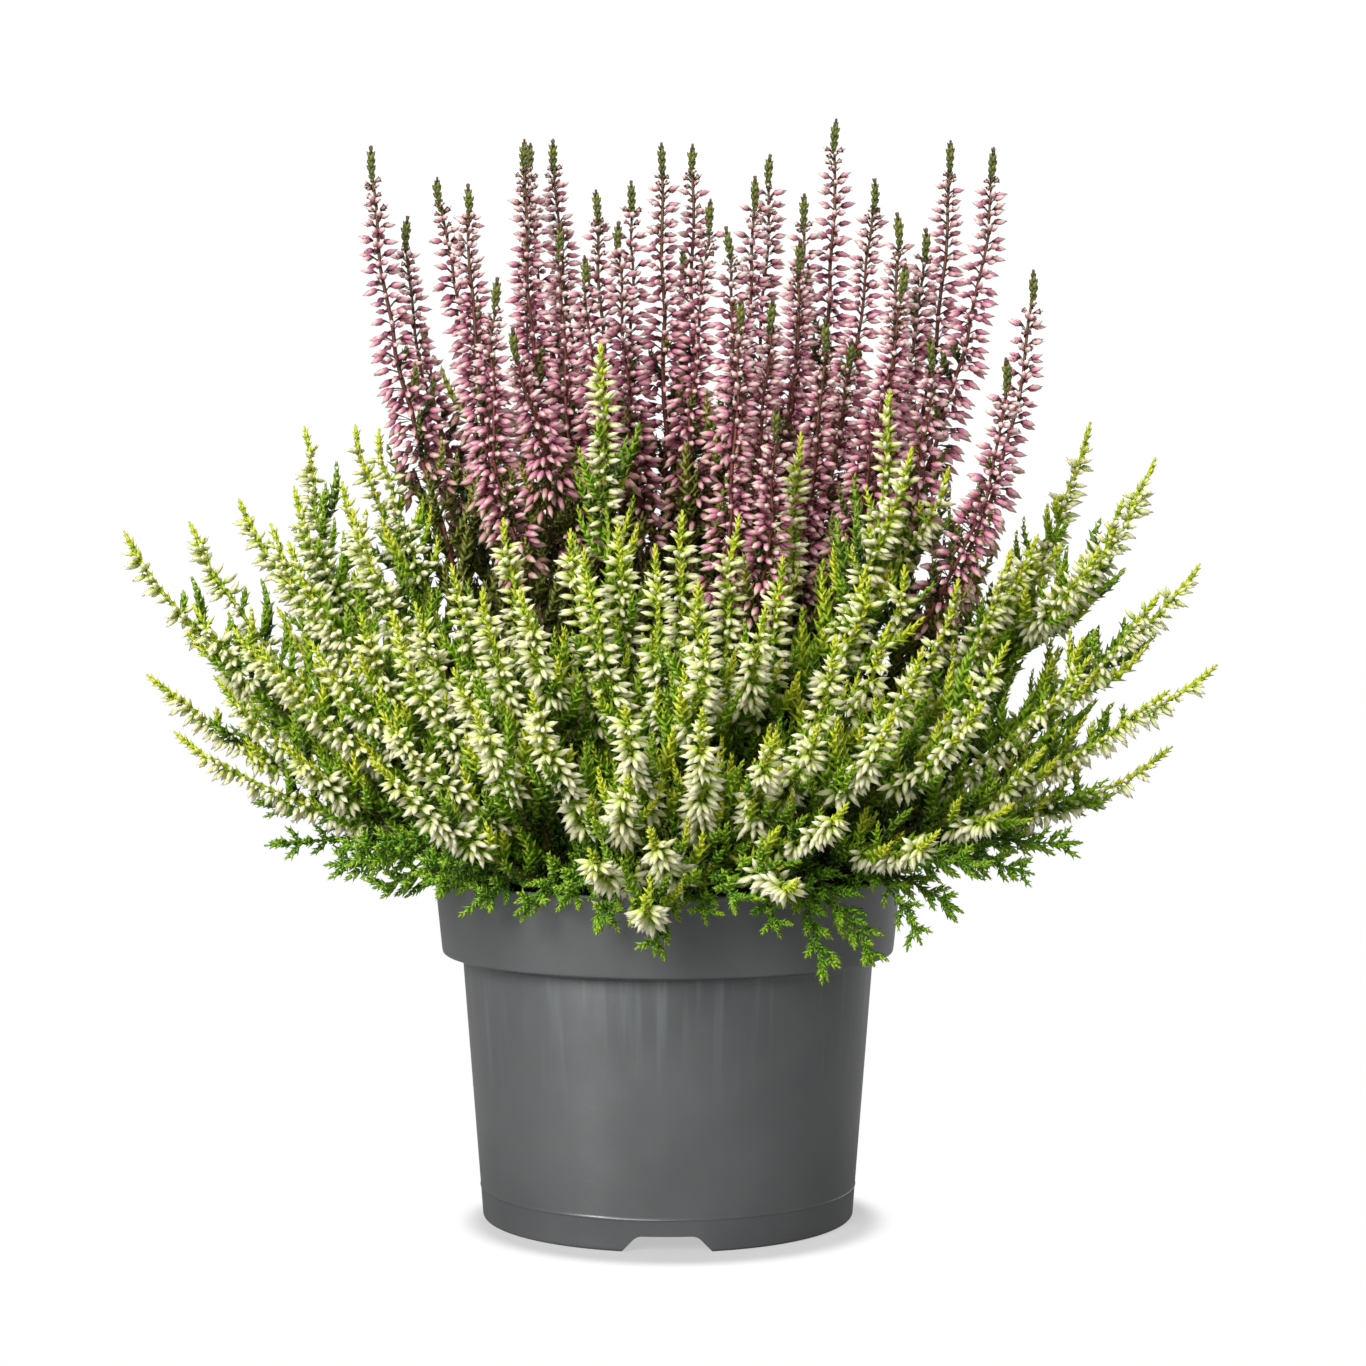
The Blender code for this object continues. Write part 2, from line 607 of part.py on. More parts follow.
def stem_hole_cutters(roots, collection, finish):
    """One plain hole in the soil for each stem."""
    bm = bmesh.new()
    depth = STEM_DEPTH + NEIGHBOUR_GAP
    above = 0.002
    for root in roots:
        made = bmesh.ops.create_cone(bm, cap_ends=True, segments=HOLE_SIDES, radius1=HOLE_RADIUS,
                                     radius2=HOLE_RADIUS, depth=depth + above)
        bmesh.ops.translate(bm, verts=made["verts"],
                            vec=(root[0], root[1], SOIL_TOP + (above - depth) / 2))
    mesh = bpy.data.meshes.new("stem_holes")
    bm.to_mesh(mesh)
    bm.free()
    return add_object("stem_holes", mesh, finish, collection)


def main():
    for item in list(bpy.data.objects):
        bpy.data.objects.remove(item, do_unlink=True)
    heather = bpy.data.collections.new("potted_heather")
    cutters = bpy.data.collections.new("cutters")
    bpy.context.scene.collection.children.link(heather)
    bpy.context.scene.collection.children.link(cutters)

    sprays = [(family, tips) for family, groups in FAMILIES for tips in groups]
    roots = root_places(sprays)
    strands = lay_out(sprays, roots)
    comb(strands)

    plastic = material("pot_plastic", (0.090, 0.096, 0.100), 0.42)
    earth = material("soil", (0.040, 0.026, 0.016), 0.95)
    pot = turned("pot", pot_profile(), plastic, heather)
    cut_with(pot, pot_cutters(cutters, plastic), "notches_and_drains")
    soil = turned("soil", soil_profile(), earth, heather)
    cut_with(soil, stem_hole_cutters(roots, cutters, earth), "stem_holes")

    finishes = {family["name"]: material(family["name"], family["colour"], 0.7)
                for family, _ in FAMILIES}
    numbers = {family["name"]: 0 for family, _ in FAMILIES}
    for spray, (family, _) in enumerate(sprays):
        numbers[family["name"]] += 1
        name = f"{family['name']}_{numbers[family['name']]:02d}"
        members = [index for index, strand in enumerate(strands) if strand["spray"] == spray]
        add_object(name, build_spray(name, strands, members), finishes[family["name"]], heather)


main()
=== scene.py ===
# Potted heather: every bud, bract, scale leaf and stem of the sprays, in their pot of soil.
# Metres, +Z up, the front towards -Y. The stems follow the lines of the frame's own solids, which are
# worked out here again from the same tables and rules.

import math
import random

import bmesh
import bpy
import numpy as np
from mathutils import Matrix, Vector, noise


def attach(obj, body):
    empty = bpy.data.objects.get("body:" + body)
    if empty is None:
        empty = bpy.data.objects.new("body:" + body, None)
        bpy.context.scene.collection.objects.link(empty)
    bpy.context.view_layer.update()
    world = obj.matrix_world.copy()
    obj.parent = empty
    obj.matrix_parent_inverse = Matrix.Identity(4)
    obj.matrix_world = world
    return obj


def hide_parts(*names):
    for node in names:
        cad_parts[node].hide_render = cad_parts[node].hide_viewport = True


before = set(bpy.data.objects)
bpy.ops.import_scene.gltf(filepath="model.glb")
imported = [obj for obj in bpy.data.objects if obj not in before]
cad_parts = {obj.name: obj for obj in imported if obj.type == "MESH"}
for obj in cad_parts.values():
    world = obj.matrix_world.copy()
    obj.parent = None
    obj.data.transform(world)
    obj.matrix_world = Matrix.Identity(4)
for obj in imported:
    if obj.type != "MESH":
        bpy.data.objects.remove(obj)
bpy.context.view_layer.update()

MM = 0.001
BODY = "root"
UV_NAME = "OFBake"

# Pot and soil, at the sizes of the frame's own pot
POT_HEIGHT = 0.095
RIM_RADIUS = 0.065
COLLAR_FOOT_RADIUS = 0.0627
COLLAR_HEIGHT = 0.0218
BODY_TOP_RADIUS = 0.0571
FOOT_RADIUS = 0.0514
POT_WALL = 0.0013
LEDGE_DROP = 0.0012
BASE_PLATE_LIFT = 0.0046
FOOT_RING_WIDTH = 0.0015
POT_STEPS = 160
NOTCH_COUNT = 3
NOTCH_FOOT_WIDTH = 0.024
NOTCH_TOP_WIDTH = 0.016
NOTCH_HEIGHT = 0.0043
NOTCH_CORNER = 0.0014
CUTTER_DEPTH = 0.012
DRAIN_HOLES = 6
DRAIN_RADIUS = 0.004
DRAIN_CIRCLE = 0.036
SOIL_TOP = 0.084
STEM_DEPTH = 0.006
ROOT_SPACING = 0.0068
ROOT_STEPS = 80
ROOT_PUSH = 0.4

# How the stems bend and are kept apart
STEM_RADIUS = 0.0011
BRANCH_MARGIN = 0.0085
BEND_ARM = 0.40
BRANCH_ARM = 0.34
SHORTEST_ARM_SHARE = 0.6
LOOK_AHEAD = 0.004
SAMPLES = 26
BLOOM_EDGE = 0.02
COMB_STEPS = 160
COMB_FREE_STEPS = 80
COMB_REFRESH = 8
COMB_GAP = 0.0011
POT_CLEARANCE = 0.0022
COMB_REACH = 0.022
CROWD_EASE = 0.35
FORK_REACH = 1.5
PAIR_BLOCK = 512
PULL_BACK_SIDE = 0.985
PULL_BACK_DEPTH = 0.997
FIXED_STEM_LENGTH = 0.006
FREE_STEM_LENGTH = 0.016
RIM_MIDDLE_RADIUS = 0.0640
RIM_HALF_WALL = 0.0016

# One entry for each kind of stem. A lean off vertical is a share of the angle from root to tip, and
# tip_droop adds to it as that angle grows; root_most and tip_most are the most it may be, in degrees.
PINK = {
    "name": "pink_spray", "bloom": 0.098, "bloom_share": 0.62, "radius": 0.0062, "foot_radius": 0.0078,
    "shortest_arm": 0.0, "branch_from": 0.42, "branch_to": 0.78, "branch_clear": 0.018,
    "branch_spread": 0.9, "branch_bare": 0.014, "root_share": 0.40, "root_limit": 0.036,
    "root_lean": 1.10, "root_most": 45, "tip_lean": 0.10, "tip_droop": 0.2, "tip_most": 60,
}
WHITE = {
    "name": "white_spray", "bloom": 0.056, "bloom_share": 0.52, "radius": 0.0052, "foot_radius": 0.0056,
    "shortest_arm": 0.0, "branch_from": 0.42, "branch_to": 0.80, "branch_clear": 0.014,
    "branch_spread": 0.9, "branch_bare": 0.014, "root_share": 0.30, "root_limit": 0.040,
    "root_lean": 0.90, "root_most": 45, "tip_lean": 0.2, "tip_droop": 1.6, "tip_most": 50,
}
GREEN = {
    "name": "leafy_stem", "bloom": 0.048, "bloom_share": 0.62, "radius": 0.0028, "foot_radius": 0.0028,
    "shortest_arm": 0.034, "branch_from": 0.30, "branch_to": 0.95, "branch_clear": 0.009,
    "branch_spread": 0.5, "branch_bare": 0.010, "root_share": 0.60, "root_limit": 0.047,
    "root_lean": 0.12, "root_most": 60, "tip_lean": 0.75, "tip_droop": 0.75, "tip_most": 150,
}

# Spike tips, spray by spray, each as (right, back, up) in millimetres. The first is the main spike.
PINK_TIPS = [
    [(-84, 10, 299), (-75, 26, 281), (-67, 32, 293)],
    [(-57, 16, 289), (-47, -10, 260)],
    [(-41, 18, 302), (-40, 33, 303), (-42, -25, 245)],
    [(-30, 0, 276), (-34, 46, 306)],
    [(-21, 30, 289), (-14, 12, 278), (-23, -10, 266)],
    [(-2, 25, 302), (-11, 40, 293)],
    [(7, 42, 304), (12, 10, 284), (16, -10, 274)],
    [(20, -24, 253), (29, -16, 254), (29, -38, 223)],
    [(25, 30, 293), (30, 50, 302)],
    [(39, 22, 287), (37, 3, 272)],
    [(43, -20, 248), (51, -8, 243)],
    [(49, 40, 311), (59, 20, 291)],
    [(64, 0, 279), (65, -18, 263), (73, 12, 276)],
    [(82, 35, 304), (93, 20, 300)],
    [(102, 0, 263), (92, -22, 237), (71, -24, 243)],
    [(-58, 70, 262), (-42, 58, 280), (-72, 48, 252)],
    [(-12, 84, 252), (4, 66, 276), (20, 82, 262)],
    [(42, 72, 272), (58, 82, 250), (74, 62, 264)],
]
WHITE_TIPS = [
    [(-151, -5, 190), (-141, -26, 151), (-128, -30, 170)],
    [(-137, 20, 193), (-125, 36, 200), (-106, 36, 221)],
    [(-109, -15, 192), (-102, -32, 187), (-106, 12, 203)],
    [(-91, 0, 204), (-86, -20, 196), (-90, 25, 221), (-81, 5, 219)],
    [(-115, -44, 164), (-107, -54, 160), (-92, -64, 161), (-80, -56, 168)],
    [(-71, -70, 169), (-66, -54, 171), (-56, -60, 181)],
    [(-72, -86, 144), (-73, -96, 132), (-53, -92, 155), (-47, -102, 146)],
    [(-132, -36, 136), (-119, -42, 150), (-100, -60, 134)],
    [(-43, -50, 193), (-47, -72, 175), (-37, -82, 175)],
    [(-33, -105, 150), (-10, -114, 147), (-9, -117, 130)],
    [(-25, -60, 190), (-21, -75, 185), (-13, -50, 192), (-18, -30, 241)],
    [(-3, -72, 186), (4, -52, 195), (8, -86, 177), (10, -100, 165)],
    [(19, -46, 194), (30, -61, 183), (25, -82, 171)],
    [(9, -114, 146), (27, -106, 140), (38, -92, 141), (45, -100, 122), (32, -108, 104)],
    [(37, -22, 217), (53, -56, 178), (62, -46, 181)],
    [(43, -83, 163), (57, -72, 166), (65, -80, 160), (57, -92, 144)],
    [(60, -30, 228), (65, -43, 212), (74, -20, 208)],
    [(77, -46, 177), (69, -84, 114), (81, -77, 146), (89, -60, 161)],
    [(93, -28, 185), (102, -12, 189), (110, -1, 187)],
    [(122, 30, 222), (138, 12, 211), (126, -8, 199), (118, -18, 186)],
    [(152, -8, 153), (151, 14, 181), (134, -20, 173)],
    [(112, -48, 157), (135, -32, 147), (138, -18, 131), (100, -46, 133), (90, -62, 119)],
    [(-19, -104, 111), (-4, -112, 117), (-5, -115, 101)],
    [(-118, 66, 168), (-104, 82, 150), (-92, 58, 190), (-134, 46, 148)],
    [(-62, 98, 172), (-44, 108, 148), (-34, 92, 196), (-78, 94, 142)],
    [(0, 116, 158), (16, 104, 184), (-18, 102, 182), (8, 112, 132)],
    [(54, 100, 176), (72, 96, 150), (38, 110, 146), (66, 82, 198)],
    [(112, 68, 170), (102, 84, 146), (96, 54, 198), (132, 46, 156)],
]
GREEN_TIPS = [
    [(-117, 4, 114), (-99, 20, 108), (-110, -20, 104), (-94, -10, 98)],
    [(-91, -44, 101), (-77, -54, 96), (-84, -68, 108)],
    [(-50, -70, 93), (-64, -62, 98), (-62, -82, 106)],
    [(-27, -78, 95), (-39, -74, 91), (-14, -82, 90)],
    [(-3, -86, 82), (10, -82, 92), (22, -92, 99)],
    [(41, -80, 75), (28, -84, 88), (53, -74, 78)],
    [(66, -62, 82), (78, -50, 89), (84, -64, 103)],
    [(113, -22, 105), (122, 0, 115), (98, -38, 98), (104, 6, 105)],
    [(104, 36, 104), (88, 52, 94), (116, 26, 114)],
    [(52, 72, 86), (66, 80, 97), (36, 84, 90)],
    [(0, 82, 84), (14, 94, 95), (-18, 90, 88)],
    [(-60, 66, 88), (-78, 60, 100), (-88, 42, 104)],
]
FAMILIES = [(PINK, PINK_TIPS), (WHITE, WHITE_TIPS), (GREEN, GREEN_TIPS)]

# How the flowers of a spike change from its foot (share 0) to its tip (share 1)
PINK_FLOWERS = {
    "share": [0.0, 0.12, 0.28, 0.58, 0.86, 1.0],
    "tilt": [126, 118, 104, 90, 78, 58],
    "stalk": [0.0054, 0.0048, 0.0032, 0.0020, 0.0014, 0.0008],
    "length": [0.0051, 0.0051, 0.0049, 0.0045, 0.0040, 0.0027],
    "width": [0.0020, 0.0020, 0.0020, 0.0019, 0.0018, 0.0013],
    "count": [3.4, 3.2, 2.7, 2.3, 2.0, 1.2],
    "tone": [0.95, 0.80, 0.58, 0.38, 0.22, 0.06],
    "gap": [0.0026, 0.0025, 0.0024, 0.0023, 0.0022, 0.0017],
    "fan": 36, "jitter": 15, "stalk_width": 0.00036, "cup_length": 0.0022, "cup_width": 0.0017,
    "cup_tone": 0.05, "bract": 0.0027, "bract_tone": 0.05, "front_share": 1.0,
}
WHITE_FLOWERS = {
    "share": [0.0, 0.10, 0.35, 0.65, 0.90, 1.0],
    "tilt": [112, 102, 92, 86, 76, 54],
    "stalk": [0.0020, 0.0015, 0.0011, 0.0009, 0.0007, 0.0004],
    "length": [0.0047, 0.0047, 0.0046, 0.0046, 0.0044, 0.0036],
    "width": [0.0018, 0.0018, 0.0018, 0.0017, 0.0016, 0.0013],
    "count": [3.1, 3.0, 2.6, 2.3, 2.1, 1.8],
    "tone": [0.85, 0.66, 0.45, 0.34, 0.18, 0.06],
    "gap": [0.0019, 0.0019, 0.0019, 0.0018, 0.0017, 0.0013],
    "fan": 34, "jitter": 12, "stalk_width": 0.0, "cup_length": 0.0017, "cup_width": 0.0016,
    "cup_tone": 0.66, "bract": 0.0026, "bract_tone": 0.70, "front_share": 0.5,
}
PINK["flowers"], WHITE["flowers"] = PINK_FLOWERS, WHITE_FLOWERS
PINK["leafy_tip"], WHITE["leafy_tip"], GREEN["leafy_tip"] = 0.0095, 0.0072, 0.0060
PINK["tip_size"], WHITE["tip_size"], GREEN["tip_size"] = 1.0, 0.92, 0.72
PINK["tip_tones"], WHITE["tip_tones"], GREEN["tip_tones"] = (0.30, 0.66), (0.82, 1.0), (0.55, 0.90)
FLOWER_STAGES = 8
FLOWER_VARIANTS = 5
BUD_SIDES = 5
# How far clusters on a leaning stem turn down, and how steeply one may face up before it is left out
SAG = 0.55
UPPER_SIDE = 0.42

# Leaves: length, width and thickness, the lean off the stem, and the step from pair to pair
TIP_LEAF = {"length": 0.0025, "width": 0.0018, "thick": 0.0014, "tilt": 37, "step": 0.00100}
STEM_LEAF = {"length": 0.0028, "width": 0.0013, "thick": 0.0008, "tilt": 46, "step": 0.00170}
SCALE_LEAF = {"length": 0.0026, "width": 0.0016, "thick": 0.0009, "tilt": 34, "step": 0.00130}
SHOOT_LEAF = {"length": 0.0028, "width": 0.0018, "thick": 0.0011, "tilt": 42, "step": 0.00120}
LEAF_TONES = 6
OLDEST_TONE, TONE_SPAN = 0.12, 0.76
DARK_APEX = 0.82
PAIR_VARIANTS = 2

# Leafy shoots: their leaf pairs by length, and their lean at the foot and at the end in degrees
SHOOT_PAIRS = (6, 9, 13)
SHOOT_TILTS, FEATHER_TILTS = (52, 8), (58, 34)
SHOOT_VARIANTS = 3
SHOOT_TONES = 3
RIM_SAFETY = 0.0012

# Shoots along a stem: their spacing, and how far each is turned upright (0 along the stem, 1 upright)
SIDE_SHOOT_GAP, SIDE_SHOOT_LIFT = 0.0031, 0.45
SIDE_SHOOT_END = 0.004
FEATHER_GAP, FEATHER_LIFT = 0.0034, 0.12
FILLING_GAP, FILLING_LIFT = 0.0058, 0.25
FILLING_SHARE = 0.42
UPRIGHT_GAP, UPRIGHT_LIFT = 0.0080, 0.6
SPIRAL_TURN = 2.4
# Where the leaves of a stem begin above the soil or a fork, and the tones they run through
SOIL_CLEAR, FORK_CLEAR, LEAFY_FORK_CLEAR = 0.004, 0.003, 0.002
BARE_FOOT = 0.25
STEM_TONES, LEAFY_TONES, SCALE_TONES = (0.12, 0.50), (0.10, 0.65), (0.6, 1.0)
# Upright shoots among the flowers: how far up they begin, the share they reach, and their tones
PINK["upright"], WHITE["upright"] = (0.003, 0.45, (0, 0, 1)), (0.004, 0.62, (1, 1, 2))

# Small bends of a stem: their height, where they fade out at its foot and tip, and their lengths
WAVE = 0.0005
WAVE_FADES = (0.02, 0.01)
LONG_WAVES, SHORT_WAVES = (0.028, 0.040), (0.013, 0.019)

# Wood of the stems: radius at the foot, where the flowers begin, and at the tip
WOOD_SIDES = 5
WOOD_RINGS = 28
SIDE_WOOD = 0.85
WOOD_RADII = {"pink_spray": (0.00115, 0.00080, 0.00038), "white_spray": (0.00105, 0.00068, 0.00034),
              "leafy_stem": (0.00085, 0.00055, 0.00025)}

# UVs of the moulds: U runs along a piece, and V lies in a thin row that its tone moves up the palette
U_FOOT, U_SPAN = 0.02, 0.96
V_ROW = 0.02

# Soil: rings and steps of its top, and how many crumbs lie on it
SOIL_RINGS = 22
SOIL_STEPS = 72
CRUMBS = 420


def heading(turn, angle):
    """Unit vector that leans by angle off vertical towards the flat unit vector turn."""
    return np.array([turn[0] * math.sin(angle), turn[1] * math.sin(angle), math.cos(angle)])


def unit(vector):
    return vector / max(np.linalg.norm(vector), 1e-9)


def bend(start, start_arm, end_arm, end):
    """Points along a cubic curve from start to end."""
    t = np.linspace(0.0, 1.0, SAMPLES)[:, None]
    return ((1 - t) ** 3 * start + 3 * (1 - t) ** 2 * t * start_arm
            + 3 * (1 - t) * t ** 2 * end_arm + t ** 3 * end)


def lengths_along(points):
    steps = np.linalg.norm(np.diff(points, axis=0), axis=1)
    return np.concatenate([[0.0], np.cumsum(steps)])


def point_at(points, distance):
    along = lengths_along(points)
    return np.array([np.interp(distance, along, points[:, axis]) for axis in range(3)])


def root_places(sprays):
    """A place on the soil for each stem, on the side of its own tips and clear of the others."""
    places = []
    for family, tips in sprays:
        middle = np.mean(np.array(tips, float)[:, :2], axis=0) * MM * family["root_share"]
        reach = np.hypot(*middle)
        places.append(middle * min(1.0, family["root_limit"] / max(reach, 1e-6)))
    places = np.array(places)
    limits = np.array([family["root_limit"] for family, _ in sprays])
    for _ in range(ROOT_STEPS):
        apart = places[:, None] - places[None]
        distance = np.hypot(apart[..., 0], apart[..., 1])
        np.fill_diagonal(distance, 1.0)
        push = np.clip(ROOT_SPACING - distance, 0.0, None) / np.maximum(distance, 1e-6)
        places = places + ROOT_PUSH * np.sum(apart * push[..., None], axis=1)
        reach = np.hypot(places[:, 0], places[:, 1])
        places = places * np.minimum(1.0, limits / np.maximum(reach, 1e-6))[:, None]
    return places


def lay_out(sprays, roots):
    """One strand for each spike: its line, its bare length, and where it leaves another strand."""
    strands = []
    for spray, (family, tips) in enumerate(sprays):
        root = np.array([roots[spray][0], roots[spray][1], SOIL_TOP])
        main = len(strands)
        side_count = len(tips) - 1
        for number, tip_mm in enumerate(tips):
            tip = np.array(tip_mm, float) * MM
            flat = tip[:2] - root[:2]
            turn = unit(flat)
            angle = math.atan2(np.hypot(*flat), tip[2] - root[2])
            root_angle = min(angle * family["root_lean"], math.radians(family["root_most"]))
            tip_angle = angle * (family["tip_lean"]
                                 + family["tip_droop"] * (angle / (math.pi / 2)) ** 2)
            tip_angle = min(tip_angle, math.radians(family["tip_most"]))
            if number == 0:
                arm = max(BEND_ARM * np.linalg.norm(tip - root), family["shortest_arm"])
                line = bend(root, root + heading(turn, root_angle) * arm,
                            tip - heading(turn, tip_angle) * arm, tip)
                leaves_at = 0.0
            else:
                stem = strands[main]
                share = (number - 1) / max(side_count - 1, 1)
                lowest = stem["bare"] * family["branch_from"]
                highest = min(stem["bare"] * family["branch_to"], stem["bare"] - BRANCH_MARGIN)
                leaves_at = lowest + share * (highest - lowest)
                start = point_at(stem["line"], leaves_at)
                along = unit(point_at(stem["line"], leaves_at + LOOK_AHEAD) - start)
                away = tip - start
                side = unit(away - along * np.dot(away, along))
                arm = max(BRANCH_ARM * np.linalg.norm(away),
                          family["shortest_arm"] * SHORTEST_ARM_SHARE)
                line = bend(start, start + unit(along + family["branch_spread"] * side) * arm,
                            tip - heading(turn, tip_angle) * arm, tip)
            length = lengths_along(line)[-1]
            bare = length - min(family["bloom"], length * family["bloom_share"])
            if number > 0:
                bare = max(bare, family["branch_bare"])
            strands.append({"family": family, "spray": spray, "line": line, "bare": bare,
                            "stem": None if number == 0 else main, "leaves_at": leaves_at})
    return strands


def spread_at(family, share):
    """Reach of the florets at a share of the flowering length, 0 at its foot and 1 at the tip."""
    return float(np.interp(share, [0.0, 0.10, 0.25, 0.55, 0.85, 1.0],
                           [0.55 * family["foot_radius"], family["foot_radius"],
                            family["foot_radius"], family["radius"], 0.86 * family["radius"],
                            0.35 * family["radius"]]))


def strand_radii(strand):
    along = lengths_along(strand["line"])
    share = (along - strand["bare"]) / max(along[-1] - strand["bare"], 1e-6)
    bloom = np.array([spread_at(strand["family"], s) for s in np.clip(share, 0.0, 1.0)])
    return np.where(share < -BLOOM_EDGE, STEM_RADIUS, bloom)


def near_pairs(points, strands):
    """Pairs of samples on different strands that are close enough to watch."""
    flat = points.reshape(-1, 3).astype(np.float32)
    squares = np.sum(flat * flat, axis=1)
    owner = np.repeat(np.arange(len(strands)), SAMPLES)
    firsts, seconds = [], []
    for begin in range(0, len(flat), PAIR_BLOCK):
        end = begin + PAIR_BLOCK
        apart = flat[begin:end] @ (-2.0 * flat[begin:].T)
        apart += squares[begin:]
        apart += squares[begin:end, None]
        row, column = np.nonzero(apart < COMB_REACH ** 2)
        firsts.append(row + begin)
        seconds.append(column + begin)
    first, second = np.concatenate(firsts), np.concatenate(seconds)
    wanted = owner[first] < owner[second]
    first, second = first[wanted], second[wanted]
    keep = np.ones(len(first), bool)
    for index, strand in enumerate(strands):
        if strand["stem"] is None:
            continue
        along = lengths_along(points[index])
        stem_along = lengths_along(points[strand["stem"]])
        clear = strand["family"]["branch_clear"]
        for mine, other in ((first, second), (second, first)):
            linked = (owner[mine] == index) & (owner[other] == strand["stem"])
            near_fork = ((along[mine % SAMPLES] < clear)
                         & (np.abs(stem_along[other % SAMPLES] - strand["leaves_at"])
                            < FORK_REACH * clear))
            keep &= ~(linked & near_fork)
    return first[keep], second[keep]


def clear_of_pot(points, radii):
    """Moves samples off the pot's rim and the soil."""
    reach = np.hypot(points[..., 0], points[..., 1])
    turn = points[..., :2] / np.maximum(reach, 1e-6)[..., None]
    wall_top = POT_HEIGHT - RIM_HALF_WALL
    across = reach - RIM_MIDDLE_RADIUS
    above = np.maximum(points[..., 2] - wall_top, 0.0)
    distance = np.maximum(np.hypot(across, above), 1e-6)
    short = np.clip(RIM_HALF_WALL + radii + POT_CLEARANCE - distance, 0.0, None)
    points[..., :2] += turn * (short * across / distance)[..., None]
    points[..., 2] += short * above / distance
    inside = reach < RIM_MIDDLE_RADIUS
    floor = SOIL_TOP + radii + COMB_GAP
    sink = np.where(inside, np.clip(floor - points[..., 2], 0.0, None), 0.0)
    points[..., 2] += sink


def comb(strands):
    """Eases the strands apart until no two touch, and keeps each close to the line it was given."""
    start = np.array([strand["line"] for strand in strands])
    radii = np.array([strand_radii(strand) for strand in strands])
    along = np.array([lengths_along(strand["line"]) for strand in strands])
    is_main = np.array([strand["stem"] is None for strand in strands])
    hold = np.where(is_main[:, None],
                    np.clip((along - FIXED_STEM_LENGTH) / FREE_STEM_LENGTH, 0.0, 1.0), 1.0)[..., None]
    forks = [(index, strand["stem"], strand["leaves_at"]) for index, strand in enumerate(strands)
             if strand["stem"] is not None]
    shift = np.zeros_like(start)
    flat_radii = radii.reshape(-1)
    for step in range(COMB_STEPS):
        points = start + shift
        if step % COMB_REFRESH == 0:
            first, second = near_pairs(points, strands)
        flat = points.reshape(-1, 3)
        apart = flat[first] - flat[second]
        distance = np.maximum(np.linalg.norm(apart, axis=1), 1e-6)
        short = np.clip(flat_radii[first] + flat_radii[second] + COMB_GAP - distance, 0.0, None)
        push = apart * (0.5 * short / distance)[:, None]
        touching = short > 0
        moved = np.concatenate([first[touching], second[touching]])
        pushes = np.concatenate([push[touching], -push[touching]])
        counts = 1.0 + CROWD_EASE * np.bincount(moved, minlength=len(flat))
        moves = np.stack([np.bincount(moved, pushes[:, axis], len(flat)) for axis in range(3)], axis=1)
        points = points + (moves / counts[:, None]).reshape(points.shape)
        clear_of_pot(points, radii)
        shift = (points - start) * hold
        if step < COMB_STEPS - COMB_FREE_STEPS:
            shift *= np.array([PULL_BACK_SIDE, PULL_BACK_DEPTH, PULL_BACK_SIDE])
        for index, stem, leaves_at in forks:
            shift[index, 0] = point_at(start[stem] + shift[stem], leaves_at) - start[index, 0]
        for _ in range(2):
            shift[:, 1:-1] = 0.5 * shift[:, 1:-1] + 0.25 * (shift[:, :-2] + shift[:, 2:])
    for index, strand in enumerate(strands):
        strand["line"] = start[index] + shift[index]


